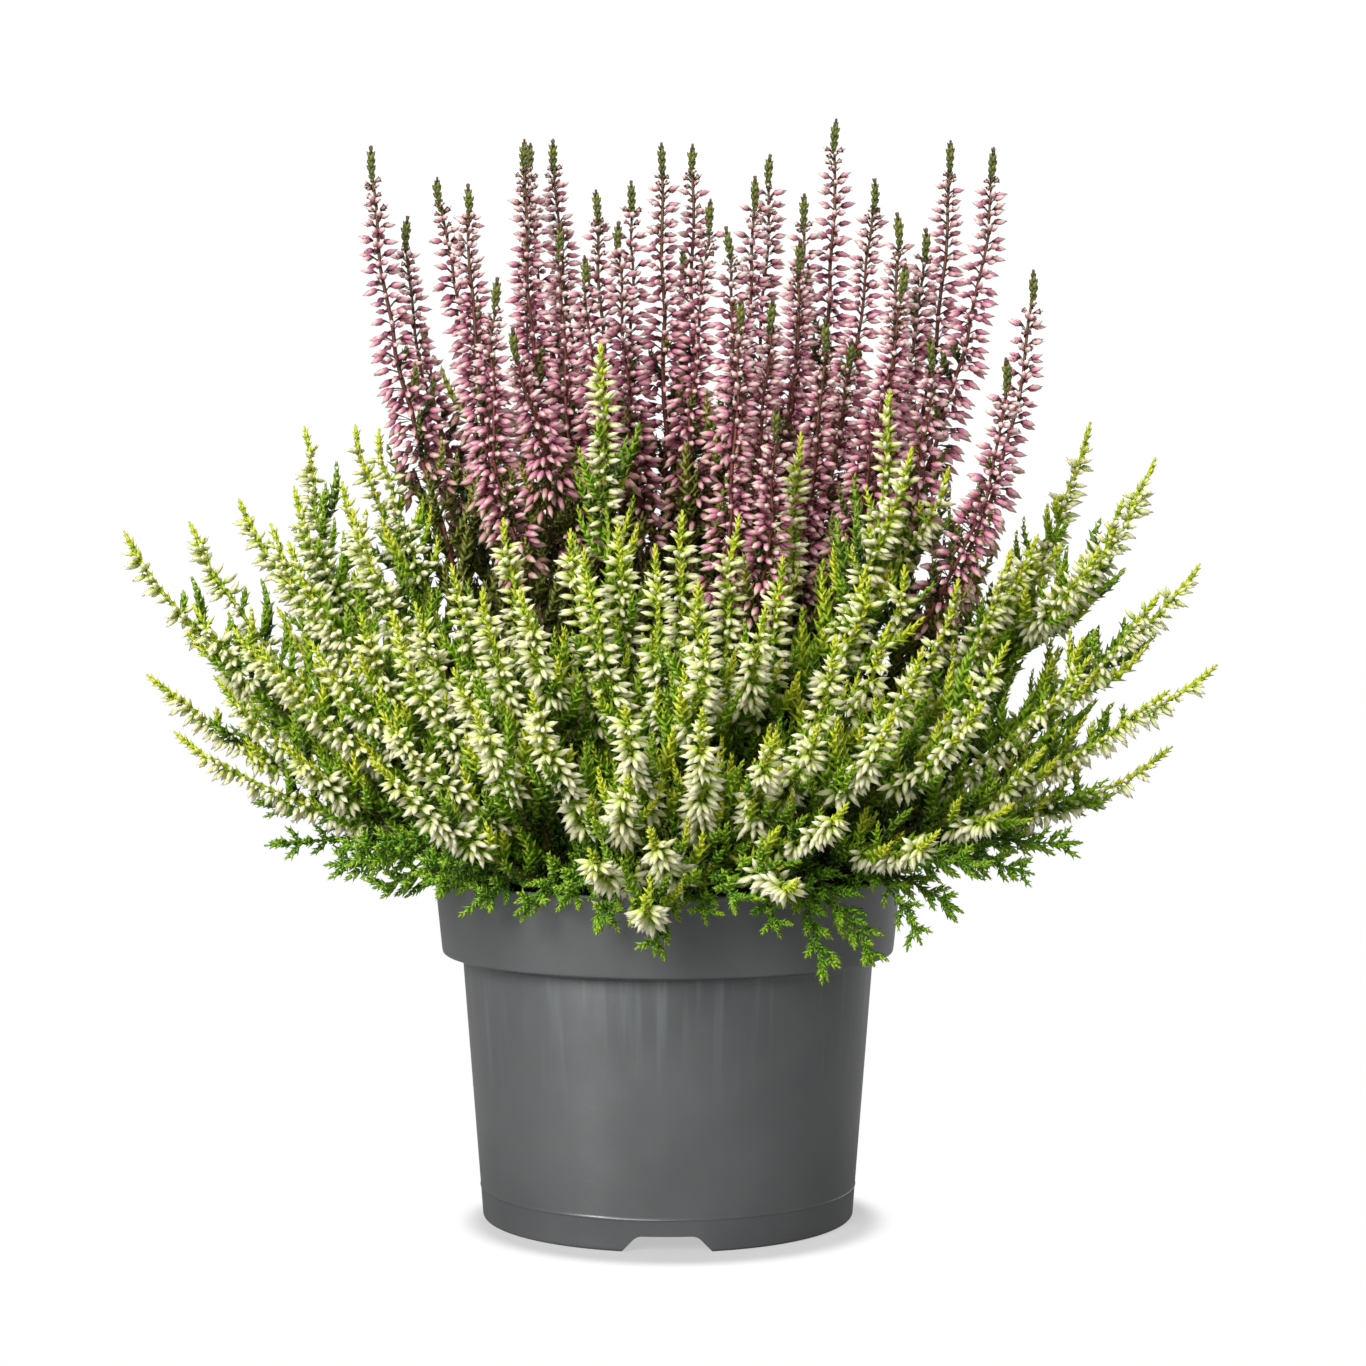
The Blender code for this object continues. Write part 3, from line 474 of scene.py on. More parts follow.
class Guide:
    """A smooth line with a frame at every distance along it: which way is up-stem, and a steady side."""

    def __init__(self, points, fineness=4):
        self.points = self.smoothed(points, fineness)
        self.along = lengths_along(self.points)
        self.length = float(self.along[-1])
        tangents = np.gradient(self.points, axis=0)
        self.tangents = tangents / np.linalg.norm(tangents, axis=1)[:, None]
        side = np.array([0.3, -1.0, 0.1])
        sides = []
        for tangent in self.tangents:
            side = unit(side - tangent * np.dot(side, tangent))
            sides.append(side)
        self.sides = np.array(sides)
        self.others = np.cross(self.tangents, self.sides)

    @staticmethod
    def smoothed(points, fineness):
        """A smooth curve through the points, with fineness steps from each to the next."""
        padded = np.vstack([2 * points[0] - points[1], points, 2 * points[-1] - points[-2]])
        before, here, after, beyond = padded[:-3], padded[1:-2], padded[2:-1], padded[3:]
        steps = []
        for t in np.linspace(0.0, 1.0, fineness, endpoint=False):
            steps.append(0.5 * (2 * here + (after - before) * t
                                + (2 * before - 5 * here + 4 * after - beyond) * t ** 2
                                + (3 * here - before - 3 * after + beyond) * t ** 3))
        return np.vstack([np.stack(steps, axis=1).reshape(-1, 3), points[-1:]])

    def at(self, distance):
        """Place, side, other side and up-stem direction at a distance from the foot."""
        distance = min(max(distance, 0.0), self.length)
        index = min(int(np.searchsorted(self.along, distance)), len(self.along) - 1)
        index = max(index, 1)
        t = (distance - self.along[index - 1]) / max(self.along[index] - self.along[index - 1], 1e-9)
        return [(1 - t) * track[index - 1] + t * track[index]
                for track in (self.points, self.sides, self.others, self.tangents)]

    def turn_towards(self, distance, aim_at):
        """The turn round the stem that faces the direction aim_at."""
        _, side, other, _ = self.at(distance)
        return math.atan2(np.dot(aim_at, other), np.dot(aim_at, side))

    def frame(self, distance, turn=0.0, size=1.0, sag=0.0, lift=0.0):
        """Matrix whose +Z runs up the stem and whose +X stands away from it, turned round it by turn.

        Where the stem leans, sag turns +X down towards its lower side, and lift turns +Z upright."""
        place, side, other, tangent = self.at(distance)
        upper = np.array([0.0, 0.0, 1.0]) - tangent * tangent[2]
        out = side * math.cos(turn) + other * math.sin(turn) - sag * upper
        tangent = unit((1 - lift) * tangent + lift * np.array([0.0, 0.0, 1.0]))
        out = unit(out - tangent * np.dot(out, tangent))
        across = np.cross(tangent, out)
        return Matrix(((out[0] * size, across[0] * size, tangent[0] * size, place[0]),
                       (out[1] * size, across[1] * size, tangent[1] * size, place[1]),
                       (out[2] * size, across[2] * size, tangent[2] * size, place[2]),
                       (0.0, 0.0, 0.0, 1.0)))


def wavy(points, rng):
    """Gives a line slight bends of its own, which fade out at both of its ends."""
    along = lengths_along(points)
    fade = (np.clip(along / WAVE_FADES[0], 0.0, 1.0)
            * np.clip((along[-1] - along) / WAVE_FADES[1], 0.0, 1.0))
    moved = points.copy()
    for axis in range(2):
        long_wave = np.sin(along * math.tau / rng.uniform(*LONG_WAVES) + rng.uniform(0, math.tau))
        short_wave = np.sin(along * math.tau / rng.uniform(*SHORT_WAVES) + rng.uniform(0, math.tau))
        moved[:, axis] += WAVE * fade * (long_wave + 0.5 * short_wave)
    return moved


def aim(base, tilt, turn, size):
    """Matrix that sets a mould at base, leans it tilt degrees off +Z and turns it turn degrees about Z."""
    return (Matrix.Translation(base) @ Matrix.Rotation(math.radians(turn), 4, "Z")
            @ Matrix.Rotation(math.radians(tilt), 4, "Y") @ Matrix.Diagonal((*size, 1.0)))


def direction(tilt, turn):
    """Unit vector that leans tilt degrees off +Z, turned turn degrees about it."""
    tilt, turn = math.radians(tilt), math.radians(turn)
    return Vector((math.sin(tilt) * math.cos(turn), math.sin(tilt) * math.sin(turn), math.cos(tilt)))


def mould_from(bm, name):
    """Keeps a bmesh as a small mesh that is set down many times."""
    for face in bm.faces:
        face.smooth = True
    mesh = bpy.data.meshes.new(name)
    bm.to_mesh(mesh)
    bm.free()
    return mesh


def set_down(bm, mould, place, tone=None):
    """Adds a copy of a mould at place; tone moves the copy's UVs up to its own row of the palette."""
    first_new = len(bm.faces)
    copy = mould.copy()
    copy.transform(place)
    bm.from_mesh(copy)
    bpy.data.meshes.remove(copy)
    if tone is not None:
        uv = bm.loops.layers.uv[UV_NAME]
        bm.faces.ensure_lookup_table()
        for face in bm.faces[first_new:]:
            for loop in face.loops:
                loop[uv].uv.y += tone


def new_bmesh():
    """An empty bmesh with the UV map of the plant."""
    bm = bmesh.new()
    bm.loops.layers.uv.new(UV_NAME)
    return bm


def map_along(bm):
    """UVs of a unit mould: U runs from its base to its tip, and V a little way round it."""
    uv = bm.loops.layers.uv[UV_NAME]
    for face in bm.faces:
        middle = face.calc_center_median()
        turn = math.atan2(middle.y, middle.x)
        for loop in face.loops:
            corner = loop.vert.co
            lean = corner.y * math.cos(turn) - corner.x * math.sin(turn)
            loop[uv].uv = (U_FOOT + U_SPAN * min(max(corner.z, 0.0), 1.0),
                           V_ROW * (0.5 * turn / math.pi + 0.8 * lean))


def bud_mould():
    """A closed bud of unit length and width: two rings, drawn out to a point at each end."""
    bm = new_bmesh()
    bmesh.ops.create_cone(bm, cap_ends=True, segments=BUD_SIDES, radius1=0.44, radius2=0.42,
                          depth=0.34, matrix=Matrix.Translation((0, 0, 0.41)))
    low = min(bm.faces, key=lambda face: face.calc_center_median().z)
    high = max(bm.faces, key=lambda face: face.calc_center_median().z)
    for cap, height in ((low, 0.0), (high, 1.0)):
        for point in bmesh.ops.poke(bm, faces=[cap])["verts"]:
            point.co.z = height
    map_along(bm)
    return mould_from(bm, "bud")


def wedge_mould(name, low_radius, high_radius, turn=0.0):
    """A closed three-sided wedge of unit length, drawn out to a point where its radius is 0."""
    bm = new_bmesh()
    bmesh.ops.create_cone(bm, cap_ends=True, segments=3, radius1=low_radius, radius2=high_radius, depth=1.0,
                          matrix=Matrix.Translation((0, 0, 0.5)) @ Matrix.Rotation(turn, 4, "Z"))
    bmesh.ops.remove_doubles(bm, verts=bm.verts, dist=1e-5)
    map_along(bm)
    return mould_from(bm, name)


def clamped(number, most):
    """The whole number, kept from 0 to most."""
    return min(max(number, 0), most)


def pair_mould(leaf, kind, name, level, variant):
    """Two opposite scale leaves, with their roots together."""
    rng = random.Random(f"{name} {level} {variant}")
    bm = new_bmesh()
    tone = OLDEST_TONE + TONE_SPAN * level / (LEAF_TONES - 1)
    for half_turn in (0, 180):
        place = aim(Vector((0, 0, 0)), kind["tilt"] + rng.uniform(-7, 7), half_turn + rng.uniform(-9, 9),
                    (kind["thick"], kind["width"], kind["length"] * rng.uniform(0.88, 1.12)))
        set_down(bm, leaf, place, tone + rng.uniform(-0.05, 0.05))
    return mould_from(bm, name)


def pair_moulds(leaf, kind, name):
    """Pairs of leaves by tone, from old to young, and variant."""
    return [[pair_mould(leaf, kind, name, level, variant) for variant in range(PAIR_VARIANTS)]
            for level in range(LEAF_TONES)]


def shoot_mould(leaf, name, tilts, pairs, level, variant):
    """A leafy shoot of some leaf pairs that starts out of the stem towards +X and curves up along it."""
    rng = random.Random(f"{name} {pairs} {level} {variant}")
    bm = new_bmesh()
    kind = SHOOT_LEAF
    base = Vector((0.0004, 0, 0))
    sway = rng.uniform(-16, 16)
    start_tilt, end_tilt = tilts
    for number in range(pairs):
        share = number / (pairs - 1)
        along = direction(start_tilt + (end_tilt - start_tilt) * share ** 0.8, sway * share)
        turned = along.to_track_quat("Z", "Y").to_matrix().to_4x4()
        size = 0.80 + 0.28 * math.sin(math.pi * min(share * 1.15, 1.0)) - 0.30 * share ** 4
        tone = 0.18 + 0.20 * level + 0.38 * share + rng.uniform(-0.04, 0.04)
        for half_turn in (0, 180):
            leaf_tilt = kind["tilt"] - 26 * share ** 3 + rng.uniform(-7, 7)
            place = (Matrix.Translation(base) @ turned
                     @ aim(Vector((0, 0, 0)), leaf_tilt,
                           90 * (number % 2) + half_turn + rng.uniform(-10, 10),
                           (kind["thick"] * size, kind["width"] * size, kind["length"] * size)))
            set_down(bm, leaf, place, min(tone, 0.94))
        base = base + along * kind["step"]
    return mould_from(bm, name)


def shoot_moulds(leaf, name, tilts):
    """Shoots by length, tone and variant."""
    return [[[shoot_mould(leaf, name, tilts, pairs, level, variant)
              for variant in range(SHOOT_VARIANTS)] for level in range(SHOOT_TONES)]
            for pairs in SHOOT_PAIRS]


def flower_value(flowers, key, share):
    """A value of the flowers' table at a share of the spike."""
    return float(np.interp(share, flowers["share"], flowers[key]))


def flower_mould(bud, leaf, cup, flowers, share, variant, name):
    """One side of a node: its bract, and each bud on its own stalk. Returns the buds and the greens."""
    rng = random.Random(f"{name} {share:.3f} {variant}")
    buds, greens = new_bmesh(), new_bmesh()
    wanted = flower_value(flowers, "count", share)
    count = int(wanted) + (rng.random() < wanted - int(wanted))
    tilt, stalk, length, width, tone = (flower_value(flowers, key, share)
                                        for key in ("tilt", "stalk", "length", "width", "tone"))
    bract_size = flowers["bract"] * (0.7 + 0.3 * min(1.0, (1 - share) * 3))
    set_down(greens, leaf, aim(Vector((0.0003, 0, -0.0002)), min(tilt, 70) * 0.8, rng.uniform(-10, 10),
                               (0.0004, 0.0008, bract_size)), flowers["bract_tone"])
    for number in range(count):
        spread = (number - (count - 1) / 2) * flowers["fan"] + rng.uniform(-10, 10)
        stagger = (8 if number % 2 else -6) if count > 2 else 0
        lean = tilt + rng.uniform(-1, 1) * flowers["jitter"] + stagger
        reach = stalk * rng.uniform(0.8, 1.15) + 0.0003
        stalk_tilt = 0.62 * lean + 8
        end = direction(stalk_tilt, spread * 0.6) * reach
        long = length * rng.uniform(0.9, 1.08)
        wide = width * rng.uniform(0.92, 1.1)
        set_down(buds, bud, aim(end, lean, spread, (wide, wide, long)),
                 min(max(tone + rng.uniform(-0.10, 0.10), 0.03), 0.96))
        set_down(greens, cup, aim(end - direction(lean, spread) * 0.0006, lean, spread,
                                  (flowers["cup_width"], flowers["cup_width"], flowers["cup_length"])),
                 flowers["cup_tone"] + rng.uniform(-0.03, 0.03))
        if flowers["stalk_width"] > 0:
            set_down(greens, cup, aim(Vector((0, 0, 0)), stalk_tilt, spread * 0.6,
                                      (flowers["stalk_width"], flowers["stalk_width"], reach)),
                     flowers["cup_tone"])
    return mould_from(buds, name + "_buds"), mould_from(greens, name + "_greens")


def flower_moulds(bud, leaf, cup, flowers, name):
    """Flower clusters by stage, from the foot of a spike to its tip, and variant."""
    return [[flower_mould(bud, leaf, cup, flowers, stage / (FLOWER_STAGES - 1), variant, name)
             for variant in range(FLOWER_VARIANTS)] for stage in range(FLOWER_STAGES)]


def stem_mould():
    """A straight stem of unit length and radius, closed at both ends, to be bent along a line."""
    bm = new_bmesh()
    bmesh.ops.create_cone(bm, cap_ends=True, segments=WOOD_SIDES, radius1=1.0, radius2=1.0, depth=1.0,
                          matrix=Matrix.Translation((0, 0, 0.5)))
    upright = [edge for edge in bm.edges if abs(edge.verts[0].co.z - edge.verts[1].co.z) > 0.5]
    bmesh.ops.subdivide_edges(bm, edges=upright, cuts=WOOD_RINGS - 2)
    uv = bm.loops.layers.uv[UV_NAME]
    for face in bm.faces:
        middle = face.calc_center_median()
        start = math.atan2(middle.y, middle.x) / math.tau
        for loop in face.loops:
            corner = loop.vert.co
            turn = math.atan2(corner.y, corner.x) / math.tau
            turn += round(start - turn)
            loop[uv].uv = (U_FOOT + U_SPAN * corner.z, 0.5 + 0.45 * turn)
    return mould_from(bm, "stem")


def add_stem(bm, mould, guide, radii, bare_share):
    """Bends a stem along its guide, with its radius falling from foot to tip."""
    copy = mould.copy()
    corners = np.empty(len(copy.vertices) * 3)
    copy.vertices.foreach_get("co", corners)
    corners = corners.reshape(-1, 3)
    height = corners[:, 2] * guide.length
    foot, flower_foot, tip = radii
    radius = np.interp(corners[:, 2], [0.0, max(bare_share, 0.05), 1.0], [foot, flower_foot, tip])
    tracks = [np.stack([np.interp(height, guide.along, track[:, axis]) for axis in range(3)], axis=1)
              for track in (guide.points, guide.sides, guide.others)]
    placed = (tracks[0] + tracks[1] * (corners[:, 0] * radius)[:, None]
              + tracks[2] * (corners[:, 1] * radius)[:, None])
    copy.vertices.foreach_set("co", placed.reshape(-1))
    bm.from_mesh(copy)
    bpy.data.meshes.remove(copy)


def hits_pot(point, margin=RIM_SAFETY):
    """Whether a point lies in the pot's wall or in the soil, or too near them."""
    reach = math.hypot(point[0], point[1])
    in_wall = (COLLAR_FOOT_RADIUS - POT_WALL - margin < reach < RIM_RADIUS + margin
               and point[2] < POT_HEIGHT + margin)
    in_soil = reach < COLLAR_FOOT_RADIUS and point[2] < SOIL_TOP + margin
    return in_wall or in_soil


def add_shoot(bm, moulds, guide, distance, turn, long, level, rng, size, lift):
    """Sets down one leafy shoot of a length, unless it would run into the pot."""
    place = guide.frame(distance, turn, size, lift=lift)
    reach = SHOOT_PAIRS[long] * SHOOT_LEAF["step"]
    for out, up in ((0.30, 0.35), (0.50, 0.85)):
        if hits_pot(place @ Vector((reach * out, 0, reach * up))):
            return
    set_down(bm, moulds[long][level][rng.randrange(SHOOT_VARIANTS)], place)


def add_pairs(bm, moulds, kind, guide, start, end, tones, rng):
    """Leaf pairs from start to end along a guide, each turned a quarter from the last."""
    distance, number = start, rng.randrange(2)
    while distance < end:
        share = (distance - start) / max(end - start, 1e-6)
        tone = tones[0] + (tones[1] - tones[0]) * share + rng.uniform(-0.08, 0.08)
        level = clamped(round(tone * (LEAF_TONES - 1)), LEAF_TONES - 1)
        place = guide.frame(distance, math.pi / 2 * (number % 2) + rng.uniform(-0.2, 0.2),
                            rng.uniform(0.9, 1.1))
        if not hits_pot(place.translation, 0.0):
            set_down(bm, moulds[level][rng.randrange(PAIR_VARIANTS)], place)
        distance += kind["step"] * rng.uniform(0.9, 1.1)
        number += 1


def add_leafy_tip(bm, kit, guide, family, rng):
    """The plump closed leaves at the end of a stem: widest above their middle, with a darker apex."""
    moulds = kit["knob_pairs"] if family is PINK else kit["tip_pairs"]
    size = family["tip_size"]
    start = guide.length - family["leafy_tip"] - 0.001
    end = guide.length - 0.45 * TIP_LEAF["length"] * size
    low, high = family["tip_tones"]
    distance, number = start, rng.randrange(2)
    while distance < end:
        share = (distance - start) / (end - start)
        swell = float(np.interp(share, [0.0, 0.25, 0.65, 1.0], [0.72, 0.90, 1.06, 0.70])) * size
        slim = float(np.interp(share, [0.0, 0.6, 1.0], [1.0, 1.0, 0.55]))
        tone = low + (high - low) * share + rng.uniform(-0.06, 0.06)
        if family is PINK and share > DARK_APEX:
            tone = 0.0
        level = clamped(round(tone * (LEAF_TONES - 1)), LEAF_TONES - 1)
        place = guide.frame(distance, math.pi / 2 * (number % 2) + rng.uniform(-0.2, 0.2),
                            swell * rng.uniform(0.93, 1.07))
        set_down(bm, moulds[level][rng.randrange(PAIR_VARIANTS)],
                 place @ Matrix.Diagonal((slim, slim, 1.0, 1.0)))
        distance += TIP_LEAF["step"] * size * rng.uniform(0.93, 1.07)
        number += 1


def add_flowers(buds, greens, moulds, flowers, guide, start, end, rng):
    """Flower clusters in opposite pairs from start to end, each pair turned a quarter from the last.

    They hang to the sides and below a stem that leans, and leave its upper side to the leaves. Where
    front_share is under 1, every other pair is on the stem's flanks, and the pairs between are thinned."""
    distance, number = start, 0
    first_turn = rng.uniform(0, math.pi)
    sided = flowers["front_share"] < 1
    while distance < end:
        share = (distance - start) / max(end - start, 1e-6)
        stage = min(int(share * (FLOWER_STAGES - 1) + rng.random()), FLOWER_STAGES - 1)
        if sided:
            place = guide.at(distance)[0]
            outward = unit(np.array([place[0], place[1], 0.0]))
            first_turn = guide.turn_towards(distance, outward) + math.pi / 2
        for half_turn in (0.0, math.pi):
            if sided and number % 2 and rng.random() > flowers["front_share"]:
                continue
            turn = first_turn + number % 4 * math.pi / 2 + half_turn + rng.uniform(-0.3, 0.3)
            place = guide.frame(distance + rng.uniform(-0.0003, 0.0003), turn, rng.uniform(0.9, 1.08), SAG)
            upper_side = place[2][0] * math.sqrt(max(0.0, 1 - place[2][2] ** 2))
            if upper_side > UPPER_SIDE:
                continue
            bud_mesh, green_mesh = moulds[stage][rng.randrange(FLOWER_VARIANTS)]
            set_down(buds, bud_mesh, place)
            set_down(greens, green_mesh, place)
        distance += flower_value(flowers, "gap", share) * rng.uniform(0.92, 1.08)
        number += 1


def add_filling(greens, moulds, guide, start, end, rng):
    """Dark green shoots all round a stem, which fill the room between the flower spikes. Their dark tones
    are partly older growth and partly painted shade of the plant's inside.
    """
    distance = start
    while distance < end:
        add_shoot(greens, moulds, guide, distance, rng.uniform(0, math.tau), rng.choice((1, 2)),
                  rng.choice((0, 0, 1)), rng, rng.uniform(1.0, 1.4), FILLING_LIFT)
        distance += FILLING_GAP * rng.uniform(0.7, 1.3)


def add_upright_shoots(greens, moulds, guide, start, end, levels, rng):
    """Green shoots among the flowers, standing up from the upper side of a stem."""
    distance = start + rng.uniform(0, UPRIGHT_GAP)
    while distance < end:
        turn = guide.turn_towards(distance, np.array([0.0, 0.0, 1.0])) + rng.uniform(-1.1, 1.1)
        share = (distance - start) / max(end - start, 1e-6)
        long = 2 if share < 0.45 else (1 if share < 0.75 else 0)
        add_shoot(greens, moulds, guide, distance, turn, long, rng.choice(levels), rng,
                  rng.uniform(0.85, 1.1), UPRIGHT_LIFT)
        distance += UPRIGHT_GAP * rng.uniform(0.7, 1.3)


def link_mesh(name, bm):
    mesh = bpy.data.meshes.new(name)
    bm.to_mesh(mesh)
    bm.free()
    item = bpy.data.objects.new(name, mesh)
    bpy.context.scene.collection.objects.link(item)
    return item


def hand_over(piece, finish, node):
    """Gives a piece its material and its body, and lets it stand for a node of the frame."""
    piece.data.materials.append(finish)
    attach(piece, BODY)
    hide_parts(node)


def stem_guides(strand, rng):
    """The line of a strand with its small bends, and the same line down to the end of its wood."""
    line = wavy(strand["line"], rng)
    below = [line[0] - np.array([0, 0, STEM_DEPTH])] if strand["stem"] is None else []
    return Guide(line), Guide(np.vstack([*below, line]), 1)


def dress_flower_spray(node, members, strands, kit, finishes, slot_name):
    """One flower spray: its wood, its buds, and its bracts and leaves."""
    rng = random.Random(node)
    wood, buds, greens = new_bmesh(), new_bmesh(), new_bmesh()
    for member in members:
        strand = strands[member]
        family, bare = strand["family"], strand["bare"]
        is_main = strand["stem"] is None
        guide, wood_guide = stem_guides(strand, rng)
        thickness = 1.0 if is_main else SIDE_WOOD
        add_stem(wood, kit["stem"], wood_guide,
                 tuple(radius * thickness for radius in WOOD_RADII[family["name"]]), bare / guide.length)
        flower_end = guide.length - family["leafy_tip"]
        zone = flower_end - bare
        add_flowers(buds, greens, kit[family["name"]], family["flowers"], guide, bare, flower_end, rng)
        add_leafy_tip(greens, kit, guide, family, rng)
        if family is WHITE:
            add_pairs(greens, kit["scale_pairs"], SCALE_LEAF, guide, bare, flower_end, SCALE_TONES, rng)
        first, reach, tones = family["upright"]
        add_upright_shoots(greens, kit["shoots"], guide, bare + first, bare + reach * zone, tones, rng)
        if family is WHITE:
            add_filling(greens, kit["shoots"], guide, bare, bare + FILLING_SHARE * zone, rng)
        low = SOIL_CLEAR if is_main else FORK_CLEAR
        leaves_from = max(low, bare * BARE_FOOT if is_main else 0)
        add_pairs(greens, kit["stem_pairs"], STEM_LEAF, guide, leaves_from, bare, STEM_TONES, rng)
        distance = low + rng.uniform(0.002, 0.006)
        turn = rng.uniform(0, math.tau)
        while distance < bare + SIDE_SHOOT_END:
            share = distance / (bare + SIDE_SHOOT_END)
            # Shoots low on the stem take darker leaf tones, partly for older growth and partly as painted
            # shade near the bottom of the plant.
            level = clamped(int(3 * share * 0.8 + rng.uniform(-0.3, 0.6)), SHOOT_TONES - 1)
            add_shoot(greens, kit["shoots"], guide, distance, turn, rng.choice((0, 1, 2, 2)), level, rng,
                      rng.uniform(1.05, 1.55), SIDE_SHOOT_LIFT)
            distance += SIDE_SHOOT_GAP * rng.uniform(0.7, 1.3)
            turn += SPIRAL_TURN + rng.uniform(-0.3, 0.3)
    for part, bm in (("wood", wood), ("buds", buds), ("leaves", greens)):
        hand_over(link_mesh(f"{node}_{part}", bm), finishes[part], node)


def dress_leafy_stem(node, members, strands, kit, finishes, slot_name):
    """One leafy stem: its wood, and leaves down its whole length with short feathery side shoots."""
    rng = random.Random(node)
    wood, greens = new_bmesh(), new_bmesh()
    for member in members:
        strand = strands[member]
        guide, wood_guide = stem_guides(strand, rng)
        add_stem(wood, kit["stem"], wood_guide, WOOD_RADII["leafy_stem"], strand["bare"] / guide.length)
        start = SOIL_CLEAR if strand["stem"] is None else LEAFY_FORK_CLEAR
        leafy_tip = strand["family"]["leafy_tip"]
        add_pairs(greens, kit["stem_pairs"], STEM_LEAF, guide, start, guide.length - leafy_tip,
                  LEAFY_TONES, rng)
        add_leafy_tip(greens, kit, guide, strand["family"], rng)
        distance, number = start + 0.003, 0
        while distance < guide.length - 0.004:
            share = distance / guide.length
            for half_turn in (0.0, math.pi):
                turn = math.pi / 2 * (number % 2) + half_turn + rng.uniform(-0.4, 0.4)
                long = 0 if share > 0.6 or rng.random() < 0.5 else 1
                level = clamped(int(3 * share + rng.uniform(-0.4, 0.6)), SHOOT_TONES - 1)
                add_shoot(greens, kit["feathers"], guide, distance, turn, long, level, rng,
                          (1.15 - 0.30 * share) * rng.uniform(0.85, 1.15), FEATHER_LIFT)
            distance += FEATHER_GAP * rng.uniform(0.8, 1.2)
            number += 1
    for part, bm in (("wood", wood), ("leaves", greens)):
        hand_over(link_mesh(f"{node}_{part}", bm), finishes[part], node)


def outer_radius(height):
    """Outer radius of the pot's body below its collar."""
    ledge = POT_HEIGHT - COLLAR_HEIGHT - LEDGE_DROP
    return FOOT_RADIUS + (BODY_TOP_RADIUS - FOOT_RADIUS) * height / ledge


def collar_radius(height):
    """Outer radius of the collar."""
    collar_foot = POT_HEIGHT - COLLAR_HEIGHT
    return COLLAR_FOOT_RADIUS + (RIM_RADIUS - COLLAR_FOOT_RADIUS) * (height - collar_foot) / COLLAR_HEIGHT


def arc(centre, radius, start, end, steps):
    """Points on an arc of a profile, from start to end in degrees, 0 outwards and 90 up."""
    return [(centre[0] + radius * math.cos(math.radians(start + (end - start) * step / steps)),
             centre[1] + radius * math.sin(math.radians(start + (end - start) * step / steps)))
            for step in range(steps + 1)]


def pot_profile():
    """The pot's wall from the middle of its inside, over the rim and under the collar, to its foot.

    Rows close to each corner keep the walls between them evenly lit."""
    collar_foot = POT_HEIGHT - COLLAR_HEIGHT
    ledge = collar_foot - LEDGE_DROP
    plate_top = BASE_PLATE_LIFT + POT_WALL
    lip = 0.0006
    corner = 0.0007
    seam = 0.0087
    return [
        (0.0, plate_top),
        (outer_radius(plate_top) - POT_WALL - 0.001, plate_top),
        (outer_radius(plate_top) - POT_WALL, plate_top + 0.001),
        (BODY_TOP_RADIUS - POT_WALL, ledge + 0.0004),
        (COLLAR_FOOT_RADIUS - POT_WALL, collar_foot + POT_WALL),
        (RIM_RADIUS - POT_WALL, POT_HEIGHT - lip),
        *arc((RIM_RADIUS - lip, POT_HEIGHT - lip), lip, 120, 0, 6),
        (collar_radius(POT_HEIGHT - lip - 0.0007), POT_HEIGHT - lip - 0.0007),
        (collar_radius(collar_foot + corner + 0.0008), collar_foot + corner + 0.0008),
        *arc((COLLAR_FOOT_RADIUS - corner, collar_foot + corner), corner, 0, -90, 5),
        (BODY_TOP_RADIUS + 0.0012, ledge + 0.0002),
        *arc((BODY_TOP_RADIUS + 0.0006, ledge - 0.0004), 0.0006, 90, 180, 3),
        (outer_radius(ledge - 0.0012), ledge - 0.0012),
        (outer_radius(ledge - 0.002), ledge - 0.002),
        (outer_radius(seam + 0.0007), seam + 0.0007),
        (outer_radius(seam + 0.0002) + 0.00004, seam + 0.0002),
        (outer_radius(seam) + 0.00016, seam),
        (outer_radius(seam - 0.0002) + 0.00004, seam - 0.0002),
        (outer_radius(seam - 0.0007), seam - 0.0007),
        (outer_radius(0.0022), 0.0022),
        (outer_radius(0.0015), 0.0015),
        *arc((outer_radius(0.0009) - 0.0009, 0.0009), 0.0009, 0, -90, 5),
        (FOOT_RADIUS - FOOT_RING_WIDTH, 0.0),
        (FOOT_RADIUS - FOOT_RING_WIDTH - 0.0004, BASE_PLATE_LIFT),
        (0.0, BASE_PLATE_LIFT),
    ]


def spun(profile, steps):
    """A closed body of a profile that begins and ends on the axis, turned once round +Z."""
    bm = bmesh.new()
    corners = [bm.verts.new((radius, 0.0, height)) for radius, height in profile]
    edges = [bm.edges.new(pair) for pair in zip(corners, corners[1:])]
    bmesh.ops.spin(bm, geom=corners + edges, cent=(0, 0, 0), axis=(0, 0, 1), dvec=(0, 0, 0),
                   angle=math.tau, steps=steps, use_merge=True, use_duplicate=False)
    bmesh.ops.remove_doubles(bm, verts=bm.verts, dist=1e-6)
    bmesh.ops.recalc_face_normals(bm, faces=bm.faces)
    return bm


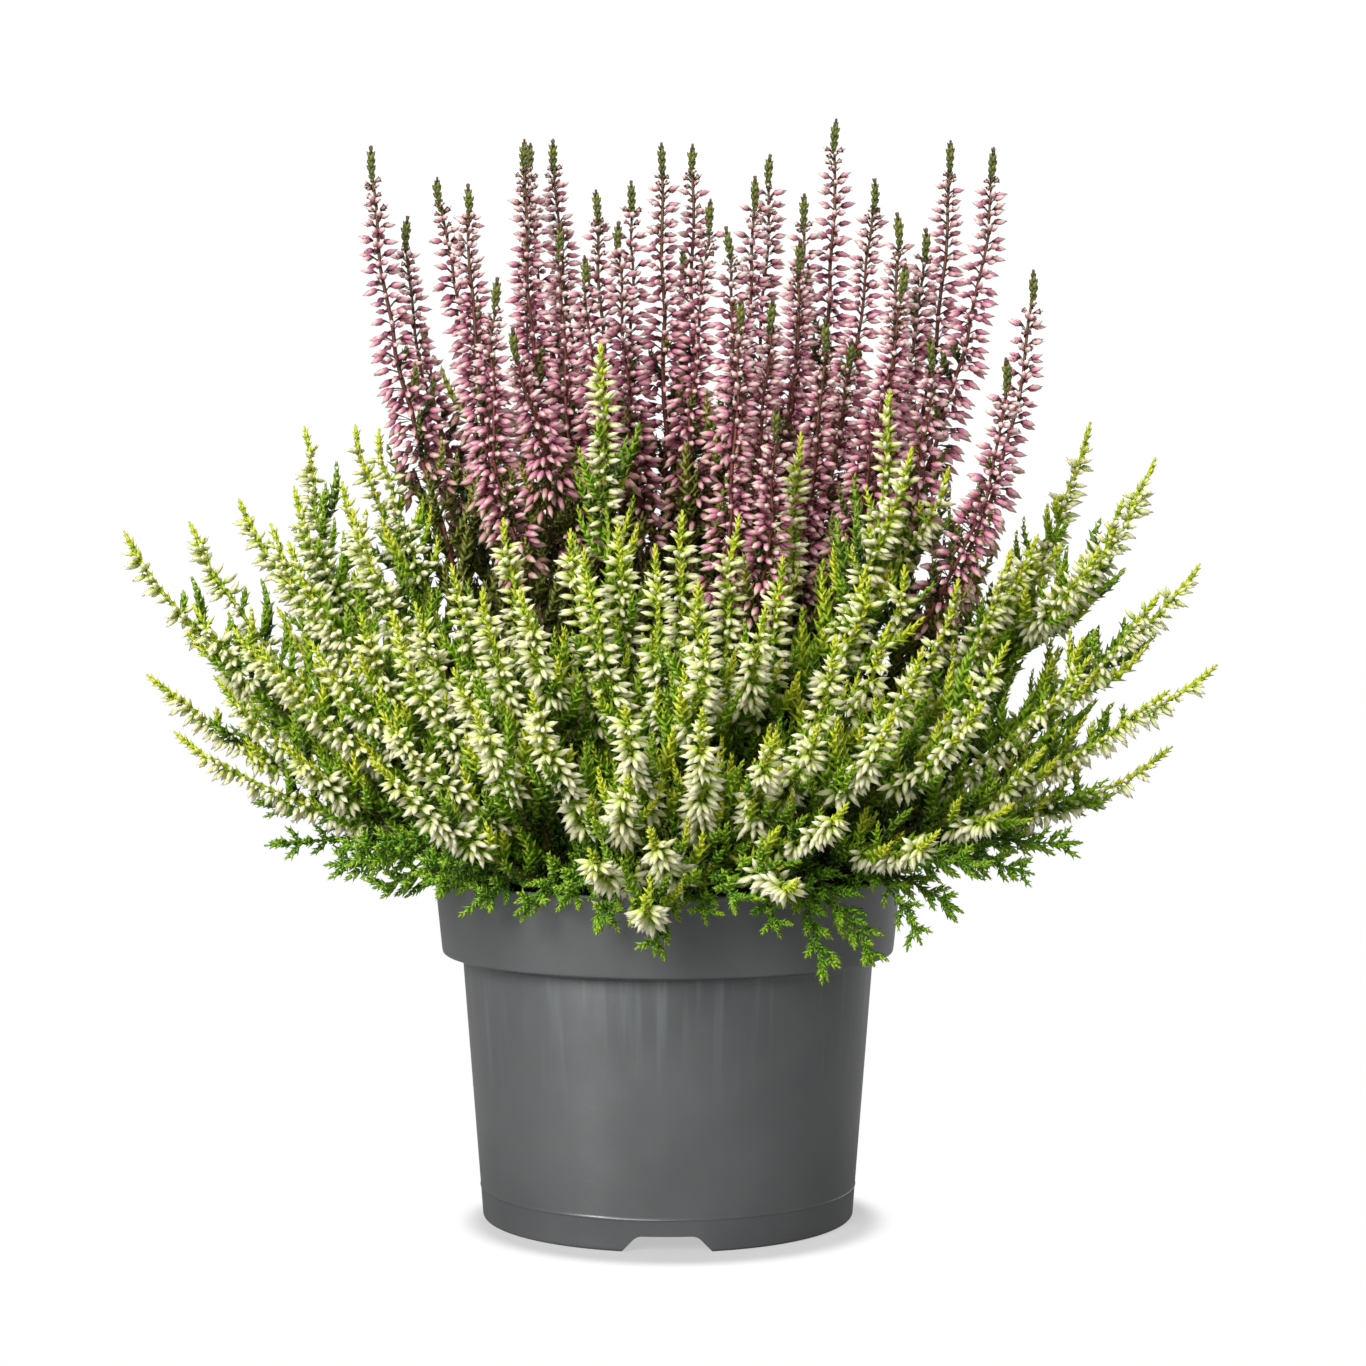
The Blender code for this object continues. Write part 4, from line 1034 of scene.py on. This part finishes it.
def pot_cutters():
    """Notches through the foot ring with rounded upper corners, and drain holes in the base plate."""
    bm = bmesh.new()
    for number in range(NOTCH_COUNT):
        turn = -math.pi / 2 + number * math.tau / NOTCH_COUNT
        block = bmesh.ops.create_cube(bm, size=1.0)["verts"]
        for corner in block:
            corner.co.y *= NOTCH_TOP_WIDTH if corner.co.z > 0 else NOTCH_FOOT_WIDTH * 1.08
            corner.co.z = NOTCH_HEIGHT if corner.co.z > 0 else -0.001
            corner.co.x = FOOT_RADIUS + corner.co.x * CUTTER_DEPTH
        edges = {edge for corner in block for edge in corner.link_edges
                 if all(end.co.z > 0 for end in edge.verts)
                 and abs(edge.verts[0].co.x - edge.verts[1].co.x) > 0.001}
        made = bmesh.ops.bevel(bm, geom=list(edges), offset=NOTCH_CORNER, affect="EDGES", segments=4,
                               profile=0.5, material=-1)
        whole = {corner for corner in block if corner.is_valid} | set(made["verts"])
        bmesh.ops.rotate(bm, verts=list(whole), cent=(0, 0, 0), matrix=Matrix.Rotation(turn, 3, "Z"))
    for number in range(DRAIN_HOLES):
        turn = (number + 0.5) * math.tau / DRAIN_HOLES
        made = bmesh.ops.create_cone(bm, cap_ends=True, segments=24, radius1=DRAIN_RADIUS,
                                     radius2=DRAIN_RADIUS, depth=0.006)
        bmesh.ops.translate(bm, verts=made["verts"],
                            vec=(DRAIN_CIRCLE * math.cos(turn), DRAIN_CIRCLE * math.sin(turn),
                                 BASE_PLATE_LIFT + POT_WALL / 2))
    return bm


def cut(item, cutter):
    """Cuts one object out of another and keeps the result as the first one's own mesh."""
    step = item.modifiers.new("cut", "BOOLEAN")
    step.operation = "DIFFERENCE"
    step.object = cutter
    evaluated = item.evaluated_get(bpy.context.evaluated_depsgraph_get())
    result = bpy.data.meshes.new_from_object(evaluated)
    item.modifiers.clear()
    item.data = result
    bpy.data.objects.remove(cutter, do_unlink=True)


def make_pot(finish):
    """The grower's pot, turned, notched and drilled, with its round parts shaded smooth."""
    pot = link_mesh("grower_pot", spun(pot_profile(), POT_STEPS))
    cut(pot, link_mesh("pot_cutters", pot_cutters()))
    pot.data.shade_smooth()
    pot.data.set_sharp_from_angle(angle=math.radians(38))
    pot.data.materials.clear()
    hand_over(pot, finish, "pot")


def make_soil(finish):
    """Potting soil with a lumpy top, and crumbs of peat and bark lying on it."""
    inset = POT_WALL + 0.0004
    top_radius = COLLAR_FOOT_RADIUS - POT_WALL + 0.0006
    collar_foot = POT_HEIGHT - COLLAR_HEIGHT
    plate_top = BASE_PLATE_LIFT + POT_WALL
    profile = [(top_radius * ring / SOIL_RINGS, SOIL_TOP) for ring in range(SOIL_RINGS + 1)]
    profile += [(COLLAR_FOOT_RADIUS - inset, collar_foot + POT_WALL + 0.001),
                (BODY_TOP_RADIUS - inset, collar_foot - 0.001),
                (outer_radius(plate_top) - inset, plate_top + 0.002),
                (outer_radius(BASE_PLATE_LIFT) - inset - 0.0015, plate_top + 0.0004),
                (0.0, plate_top + 0.0004)]
    bm = spun(profile, SOIL_STEPS)
    for point in bm.verts:
        if point.co.z > SOIL_TOP - 0.0005 and point.co.xy.length < top_radius - 0.001:
            coarse = noise.noise(point.co * 160)
            fine = noise.noise(point.co * 520 + Vector((3.1, 7.7, 1.9)))
            point.co.z += 0.0009 * coarse + 0.0006 * fine
    rng = random.Random("crumbs")
    for _ in range(CRUMBS):
        reach = (top_radius - 0.003) * math.sqrt(rng.random())
        turn = rng.uniform(0, math.tau)
        size = rng.uniform(0.0006, 0.0020)
        shape = Matrix.Diagonal((size, size * rng.uniform(0.5, 0.9), size * rng.uniform(0.35, 0.7), 1.0))
        place = (Matrix.Translation((reach * math.cos(turn), reach * math.sin(turn), SOIL_TOP + 0.0005))
                 @ Matrix.Rotation(rng.uniform(0, math.tau), 4, "Z")
                 @ Matrix.Rotation(rng.uniform(-0.5, 0.5), 4, "X") @ shape)
        bmesh.ops.create_icosphere(bm, subdivisions=1, radius=1.0, matrix=place)
    soil = link_mesh("potting_soil", bm)
    soil.data.shade_smooth()
    hand_over(soil, finish, "soil")


def rgb(code):
    """Linear colour from a six-digit screen colour."""
    parts = [int(code[place:place + 2], 16) / 255 for place in (0, 2, 4)]
    return tuple(part / 12.92 if part <= 0.04045 else ((part + 0.055) / 1.055) ** 2.4 for part in parts)


class Nodes:
    """Adds and wires nodes of one tree; a value that is a socket is linked, any other is set."""

    def __init__(self, tree):
        self.tree = tree

    def add(self, kind, **settings):
        node = self.tree.nodes.new(kind)
        for key, value in settings.items():
            setattr(node, key, value)
        return node

    def feed(self, socket, value):
        if isinstance(value, bpy.types.NodeSocket):
            self.tree.links.new(value, socket)
        elif isinstance(value, tuple) and len(value) == 3 and socket.type == "RGBA":
            socket.default_value = (*value, 1.0)
        else:
            socket.default_value = value

    def math(self, operation, first, second=0.0):
        node = self.add("ShaderNodeMath", operation=operation)
        self.feed(node.inputs[0], first)
        self.feed(node.inputs[1], second)
        return node.outputs[0]

    def mix(self, share, first, second, blend="MIX"):
        node = self.add("ShaderNodeMix", data_type="RGBA", blend_type=blend)
        self.feed(node.inputs["Factor"], share)
        self.feed(node.inputs["A"], first)
        self.feed(node.inputs["B"], second)
        return node.outputs["Result"]

    def ease(self, value, low, high):
        """0 below low, 1 above high, and a smooth step between."""
        node = self.add("ShaderNodeMapRange", interpolation_type="SMOOTHSTEP")
        for name, number in (("Value", value), ("From Min", low), ("From Max", high)):
            self.feed(node.inputs[name], number)
        return node.outputs["Result"]

    def noise(self, place, scale, detail=2.0, roughness=0.5):
        node = self.add("ShaderNodeTexNoise")
        self.feed(node.inputs["Vector"], place)
        self.feed(node.inputs["Scale"], scale)
        self.feed(node.inputs["Detail"], detail)
        self.feed(node.inputs["Roughness"], roughness)
        return node.outputs["Fac"]

    def scaled(self, place, size):
        node = self.add("ShaderNodeMapping")
        self.feed(node.inputs["Vector"], place)
        self.feed(node.inputs["Scale"], size)
        return node.outputs["Vector"]

    def split(self, place):
        """The X, Y and Z sockets of a place."""
        node = self.add("ShaderNodeSeparateXYZ")
        self.feed(node.inputs[0], place)
        return node.outputs

    def relief(self, shader, height, strength, distance):
        """Bends a shader's normals over a height."""
        node = self.add("ShaderNodeBump")
        self.feed(node.inputs["Strength"], strength)
        self.feed(node.inputs["Distance"], distance)
        self.feed(node.inputs["Height"], height)
        self.feed(shader.inputs["Normal"], node.outputs["Normal"])

    def mix_shaders(self, share, first, second, surface):
        """Wires a mix of two shaders into the tree's surface."""
        node = self.add("ShaderNodeMixShader")
        self.feed(node.inputs[0], share)
        self.feed(node.inputs[1], first.outputs[0])
        self.feed(node.inputs[2], second.outputs[0])
        self.feed(surface, node.outputs[0])


def new_group(name, colours, value, outputs):
    """A shader node group that takes colours and one value, and gives a colour and other outputs."""
    group = bpy.data.node_groups.new(name, "ShaderNodeTree")
    for label in colours:
        group.interface.new_socket(label, in_out="INPUT", socket_type="NodeSocketColor")
    group.interface.new_socket(value, in_out="INPUT", socket_type="NodeSocketFloat")
    group.interface.new_socket("Colour", in_out="OUTPUT", socket_type="NodeSocketColor")
    for label in outputs:
        group.interface.new_socket(label, in_out="OUTPUT", socket_type="NodeSocketFloat")
    nodes = Nodes(group)
    where = nodes.add("ShaderNodeUVMap", uv_map=UV_NAME).outputs["UV"]
    return (group, nodes, nodes.add("NodeGroupInput").outputs, nodes.add("NodeGroupOutput").inputs,
            where, nodes.split(where))


PETAL_COLOURS = [f"{stage} {place}" for stage in ("Fresh", "Full", "Faded")
                 for place in ("Base", "Middle", "Tip")]
LEAF_COLOURS = ["Bract", "Old", "Grown", "Young", "Apex"]
BARK_COLOURS = ["Foot", "Middle", "Tip"]


def petal_group():
    """Colour of a bud from base to tip, fresh at the top of a spike and faded at its foot."""
    group, nodes, entry, leave, where, parts = new_group("petal_colour", PETAL_COLOURS, "Streaks", [])
    along, age = parts["X"], parts["Y"]
    low, high = nodes.ease(along, 0.08, 0.42), nodes.ease(along, 0.42, 0.88)
    looks = []
    for stage in ("Fresh", "Full", "Faded"):
        colour = nodes.mix(low, entry[f"{stage} Base"], entry[f"{stage} Middle"])
        looks.append(nodes.mix(high, colour, entry[f"{stage} Tip"]))
    colour = nodes.mix(nodes.ease(age, 0.08, 0.40), looks[0], looks[1])
    colour = nodes.mix(nodes.ease(age, 0.70, 1.0), colour, looks[2])
    streak = nodes.noise(nodes.scaled(where, (2.0, 150.0, 1.0)), 1.0, 1.0)
    shade = nodes.math("MULTIPLY", nodes.math("SUBTRACT", streak, 0.5), entry["Streaks"])
    dark = nodes.math("ADD", shade, 1.0)
    grey = nodes.add("ShaderNodeCombineColor")
    for channel in ("Red", "Green", "Blue"):
        nodes.feed(grey.inputs[channel], dark)
    nodes.feed(leave["Colour"], nodes.mix(1.0, colour, grey.outputs["Color"], "MULTIPLY"))
    return group


def leaf_group():
    """Colour of a scale leaf: darker and browner when old, brighter when young, with its own apex."""
    group, nodes, entry, leave, where, parts = new_group("leaf_colour", LEAF_COLOURS, "Apex Share", [])
    along, age = parts["X"], parts["Y"]
    colour = nodes.mix(nodes.ease(age, 0.10, 0.18), entry["Bract"], entry["Old"])
    colour = nodes.mix(nodes.ease(age, 0.22, 0.58), colour, entry["Grown"])
    colour = nodes.mix(nodes.ease(age, 0.62, 0.92), colour, entry["Young"])
    apex = nodes.math("MULTIPLY", nodes.ease(along, 0.65, 1.0), entry["Apex Share"])
    colour = nodes.mix(apex, colour, entry["Apex"])
    patch = nodes.noise(nodes.scaled(where, (1.0, 90.0, 1.0)), 1.0, 1.0)
    nodes.feed(leave["Colour"], nodes.mix(nodes.ease(patch, 0.55, 0.75), colour,
                                          nodes.mix(0.35, colour, entry["Old"])))
    return group


def bark_group():
    """Colour of a stem from its woody foot to its green or red tip, with fine lengthwise streaks."""
    group, nodes, entry, leave, where, parts = new_group("bark_colour", BARK_COLOURS, "Green From",
                                                         ["Height"])
    along = parts["X"]
    later = nodes.math("ADD", entry["Green From"], 0.25)
    colour = nodes.mix(nodes.ease(along, entry["Green From"], later), entry["Foot"], entry["Middle"])
    colour = nodes.mix(nodes.ease(along, 0.75, 1.0), colour, entry["Tip"])
    streak = nodes.noise(nodes.scaled(where, (40.0, 9.0, 1.0)), 1.0, 3.0, 0.6)
    nodes.feed(leave["Colour"], nodes.mix(nodes.ease(streak, 0.35, 0.75), colour,
                                          nodes.mix(0.4, colour, entry["Foot"])))
    nodes.feed(leave["Height"], streak)
    return group


def new_material(name, roughness, specular):
    """A material with its Principled shader, and the tools to wire it."""
    material = bpy.data.materials.new(name)
    material.use_nodes = True
    shader = material.node_tree.nodes["Principled BSDF"]
    shader.inputs["Roughness"].default_value = roughness
    shader.inputs["Specular IOR Level"].default_value = specular
    return material, Nodes(material.node_tree), shader


def group_material(group, name, codes, value, roughness, specular, bump=0.0):
    """A material whose colour comes from a shared group, with its own colour codes and value."""
    material, nodes, shader = new_material(name, roughness, specular)
    node = nodes.add("ShaderNodeGroup", node_tree=group)
    for socket, entry in zip(node.inputs, (*map(rgb, codes), value)):
        nodes.feed(socket, entry)
    nodes.feed(shader.inputs["Base Color"], node.outputs["Colour"])
    if bump > 0:
        nodes.relief(shader, node.outputs["Height"], bump, 0.0002)
    return material


def plant_looks():
    """The materials and the slot of each kind of stem. Colour codes follow the order of their group."""
    petals, leaves, bark = petal_group(), leaf_group(), bark_group()
    pink = {
        "buds": group_material(petals, "pink_petals", (
            "a07560", "e0bab8", "f8ebe0", "b8507a", "d78ca4", "f5d9cd", "a0625a", "cc9a8e", "ecd8c4"),
            0.30, 0.48, 0.4),
        "leaves": group_material(leaves, "pink_leaves", (
            "4c3a20", "2d3917", "727b2c", "989a42", "7a5230"), 0.45, 0.42, 0.4),
        "wood": group_material(bark, "pink_wood", ("4f3626", "743a30", "7a5a34"), 0.25, 0.55, 0.3, 0.3),
    }
    white = {
        "buds": group_material(petals, "white_petals", (
            "b6c63c", "dfe48c", "f6f3d0", "aabb4c", "e6e5b2", "faf4da", "98a94c", "d8d8a6", "f3ecd0"),
            0.16, 0.48, 0.4),
        "leaves": group_material(leaves, "white_leaves", (
            "86992a", "344f10", "86ae1c", "d3da38", "e0d860"), 0.35, 0.42, 0.4),
        "wood": group_material(bark, "white_wood", ("5a4426", "a9b13c", "c3cf3c"), 0.20, 0.55, 0.3, 0.3),
    }
    green = {
        "leaves": group_material(leaves, "green_leaves", (
            "2c4c16", "2c4c0f", "689a18", "a0c42e", "b0c848"), 0.25, 0.42, 0.4),
        "wood": group_material(bark, "green_wood", ("4a3420", "5a5a24", "6fa02c"), 0.35, 0.55, 0.3, 0.3),
    }
    return {"pink_spray": (pink, "pink_heather"), "white_spray": (white, "white_heather"),
            "leafy_stem": (green, "green_heather")}


def pot_finish():
    """Cool dark grey plastic: satin, with faint flow streaks below the collar and a fine moulded grain."""
    material, nodes, shader = new_material("pot_plastic", 0.40, 0.5)
    where = nodes.add("ShaderNodeTexCoord").outputs["Object"]
    parts = nodes.split(where)
    turn = nodes.math("ARCTAN2", parts["Y"], parts["X"])
    wrap = nodes.add("ShaderNodeCombineXYZ")
    nodes.feed(wrap.inputs["X"], nodes.math("SINE", turn))
    nodes.feed(wrap.inputs["Y"], nodes.math("COSINE", turn))
    nodes.feed(wrap.inputs["Z"], nodes.math("MULTIPLY", parts["Z"], 1.2))
    streak = nodes.noise(wrap.outputs["Vector"], 17.0, 2.0, 0.5)
    collar_foot = POT_HEIGHT - COLLAR_HEIGHT
    below = nodes.math("MULTIPLY", nodes.ease(parts["Z"], collar_foot - 0.042, collar_foot),
                       nodes.math("LESS_THAN", parts["Z"], collar_foot - 0.0005))
    flow = nodes.math("MULTIPLY", nodes.ease(streak, 0.50, 0.80), below)
    clouds = nodes.noise(where, 38.0, 4.0, 0.55)
    colour = nodes.mix(nodes.ease(clouds, 0.30, 0.75), rgb("565859"), rgb("5e6061"))
    colour = nodes.mix(nodes.math("MULTIPLY", flow, 0.5), colour, rgb("7a8082"))
    nodes.feed(shader.inputs["Base Color"], colour)
    rough = nodes.math("ADD", nodes.math("MULTIPLY", clouds, 0.16), 0.26)
    nodes.feed(shader.inputs["Roughness"], rough)
    grain = nodes.noise(where, 1800.0, 2.0, 0.5)
    nodes.relief(shader, nodes.math("ADD", grain, nodes.math("MULTIPLY", clouds, 0.5)), 0.10, 0.0002)
    return material


def soil_finish():
    """Dark damp potting soil with lighter bark crumbs."""
    material, nodes, shader = new_material("potting_soil", 0.92, 0.25)
    where = nodes.add("ShaderNodeTexCoord").outputs["Object"]
    lumps = nodes.noise(where, 420.0, 4.0, 0.65)
    crumbs = nodes.noise(where, 1500.0, 3.0, 0.6)
    colour = nodes.mix(nodes.ease(lumps, 0.35, 0.7), rgb("1d140d"), rgb("3a2817"))
    colour = nodes.mix(nodes.ease(crumbs, 0.62, 0.75), colour, rgb("6a4d30"))
    nodes.feed(shader.inputs["Base Color"], colour)
    nodes.relief(shader, nodes.math("ADD", lumps, crumbs), 0.8, 0.0006)
    return material


def make_floor():
    """A round floor, wide enough to reach the horizon, plain grey to every ray but the camera's. The camera
    sees a painted white glow in its place: within about 52 mm of a point 2 mm right of and 8 mm in front of
    the pot's middle the glow is mixed half and half with the real shading, so the real contact shadow shows
    there at half strength, and from about 61 mm out the glow hides the real shading.
    """
    bm = bmesh.new()
    bmesh.ops.create_circle(bm, cap_ends=True, segments=96, radius=6.0)
    floor = link_mesh("floor", bm)
    material, nodes, shader = new_material("floor_paper_and_painted_glow", 0.9, 0.1)
    nodes.feed(shader.inputs["Base Color"], rgb("acacac"))
    beside = nodes.add("ShaderNodeVectorMath", operation="SUBTRACT")
    nodes.feed(beside.inputs[0], nodes.add("ShaderNodeTexCoord").outputs["Object"])
    nodes.feed(beside.inputs[1], (0.002, -0.008, 0.0))
    away = nodes.add("ShaderNodeVectorMath", operation="LENGTH")
    nodes.feed(away.inputs[0], beside.outputs["Vector"])
    # Share of painted white glow for the camera: a half near the pot, where half the real shadow shows, and
    # all of it further out.
    clear = nodes.math("MULTIPLY", nodes.ease(away.outputs["Value"], 0.0515, 0.0610), 0.50)
    clear = nodes.math("ADD", clear, 0.50)
    seen = nodes.math("MULTIPLY", clear, nodes.add("ShaderNodeLightPath").outputs["Is Camera Ray"])
    # The painted white glow: the floor glows for the camera though it is no lamp.
    painted_glow = nodes.add("ShaderNodeEmission")
    nodes.feed(painted_glow.inputs["Strength"], 1.0)
    nodes.mix_shaders(seen, shader, painted_glow, material.node_tree.nodes["Material Output"].inputs["Surface"])
    floor.data.materials.append(material)


def make_lights():
    """A white studio: a soft key light, weaker ones from above and behind, and a strip for reflections."""
    world = bpy.data.worlds.new("studio")
    bpy.context.scene.world = world
    world.use_nodes = True
    nodes = Nodes(world.node_tree)
    surround, seen = world.node_tree.nodes["Background"], nodes.add("ShaderNodeBackground")
    for background, strength in ((surround, 0.06), (seen, 1.05)):
        nodes.feed(background.inputs["Color"], (1.0, 1.0, 1.0))
        nodes.feed(background.inputs["Strength"], strength)
    nodes.mix_shaders(nodes.add("ShaderNodeLightPath").outputs["Is Camera Ray"], surround, seen,
                      world.node_tree.nodes["World Output"].inputs["Surface"])
    target = Vector((0.0, 0.0, 0.15))
    for name, place, size, power in (("strip", (-1.09, -1.16, 0.17), (0.20, 0.32), 18.0),
                                     ("key", (-0.56, -1.27, 0.78), (0.8, 0.8), 26.0),
                                     ("top", (0.05, 0.05, 1.6), (0.8, 0.8), 13.0),
                                     ("back", (0.78, 1.00, 0.50), (0.8, 0.8), 9.0)):
        light = bpy.data.lights.new(name, "AREA")
        light.shape = "RECTANGLE"
        light.size, light.size_y = size
        light.energy = power
        lamp = bpy.data.objects.new(name, light)
        lamp.visible_diffuse = name != "strip"
        lamp.location = place
        lamp.rotation_euler = (target - Vector(place)).to_track_quat("-Z", "Y").to_euler()
        bpy.context.scene.collection.objects.link(lamp)


def make_camera():
    """The photograph's view: level with the flowers, with the picture shifted down onto the pot."""
    data = bpy.data.cameras.new("view")
    data.sensor_width = 36.0
    data.lens = 80.25
    camera = bpy.data.objects.new("view", data)
    camera.location = (0.0042, -0.85, 0.18)
    camera.rotation_euler = (math.radians(90), 0.0, 0.0)
    data.shift_y = -0.085
    bpy.context.scene.collection.objects.link(camera)
    bpy.context.scene.camera = camera
    bpy.context.scene.view_settings.view_transform = "Standard"


def dress_plant():
    """Works out the stems again, then dresses every spray and leafy stem of the frame."""
    sprays = [(family, tips) for family, groups in FAMILIES for tips in groups]
    strands = lay_out(sprays, root_places(sprays))
    comb(strands)
    bud = bud_mould()
    leaf = wedge_mould("leaf", 0.58, 0.0, math.pi)
    cup = wedge_mould("cup", 0.0, 0.6)
    kit = {
        "stem": stem_mould(),
        "knob_pairs": pair_moulds(bud, TIP_LEAF, "knob_pair"),
        "tip_pairs": pair_moulds(leaf, TIP_LEAF, "tip_pair"),
        "scale_pairs": pair_moulds(leaf, SCALE_LEAF, "scale_pair"),
        "stem_pairs": pair_moulds(leaf, STEM_LEAF, "stem_pair"),
        "shoots": shoot_moulds(leaf, "shoot", SHOOT_TILTS),
        "feathers": shoot_moulds(leaf, "feather", FEATHER_TILTS),
        "pink_spray": flower_moulds(bud, leaf, cup, PINK_FLOWERS, "pink_flower"),
        "white_spray": flower_moulds(bud, leaf, cup, WHITE_FLOWERS, "white_flower"),
    }
    looks = plant_looks()
    numbers = {family["name"]: 0 for family, _ in FAMILIES}
    for spray, (family, _) in enumerate(sprays):
        numbers[family["name"]] += 1
        node = f"{family['name']}_{numbers[family['name']]:02d}"
        members = [index for index, strand in enumerate(strands) if strand["spray"] == spray]
        finishes, slot_name = looks[family["name"]]
        dress = dress_leafy_stem if family is GREEN else dress_flower_spray
        dress(node, members, strands, kit, finishes, slot_name)


make_camera()
make_lights()
make_floor()
make_pot(pot_finish())
make_soil(soil_finish())
dress_plant()
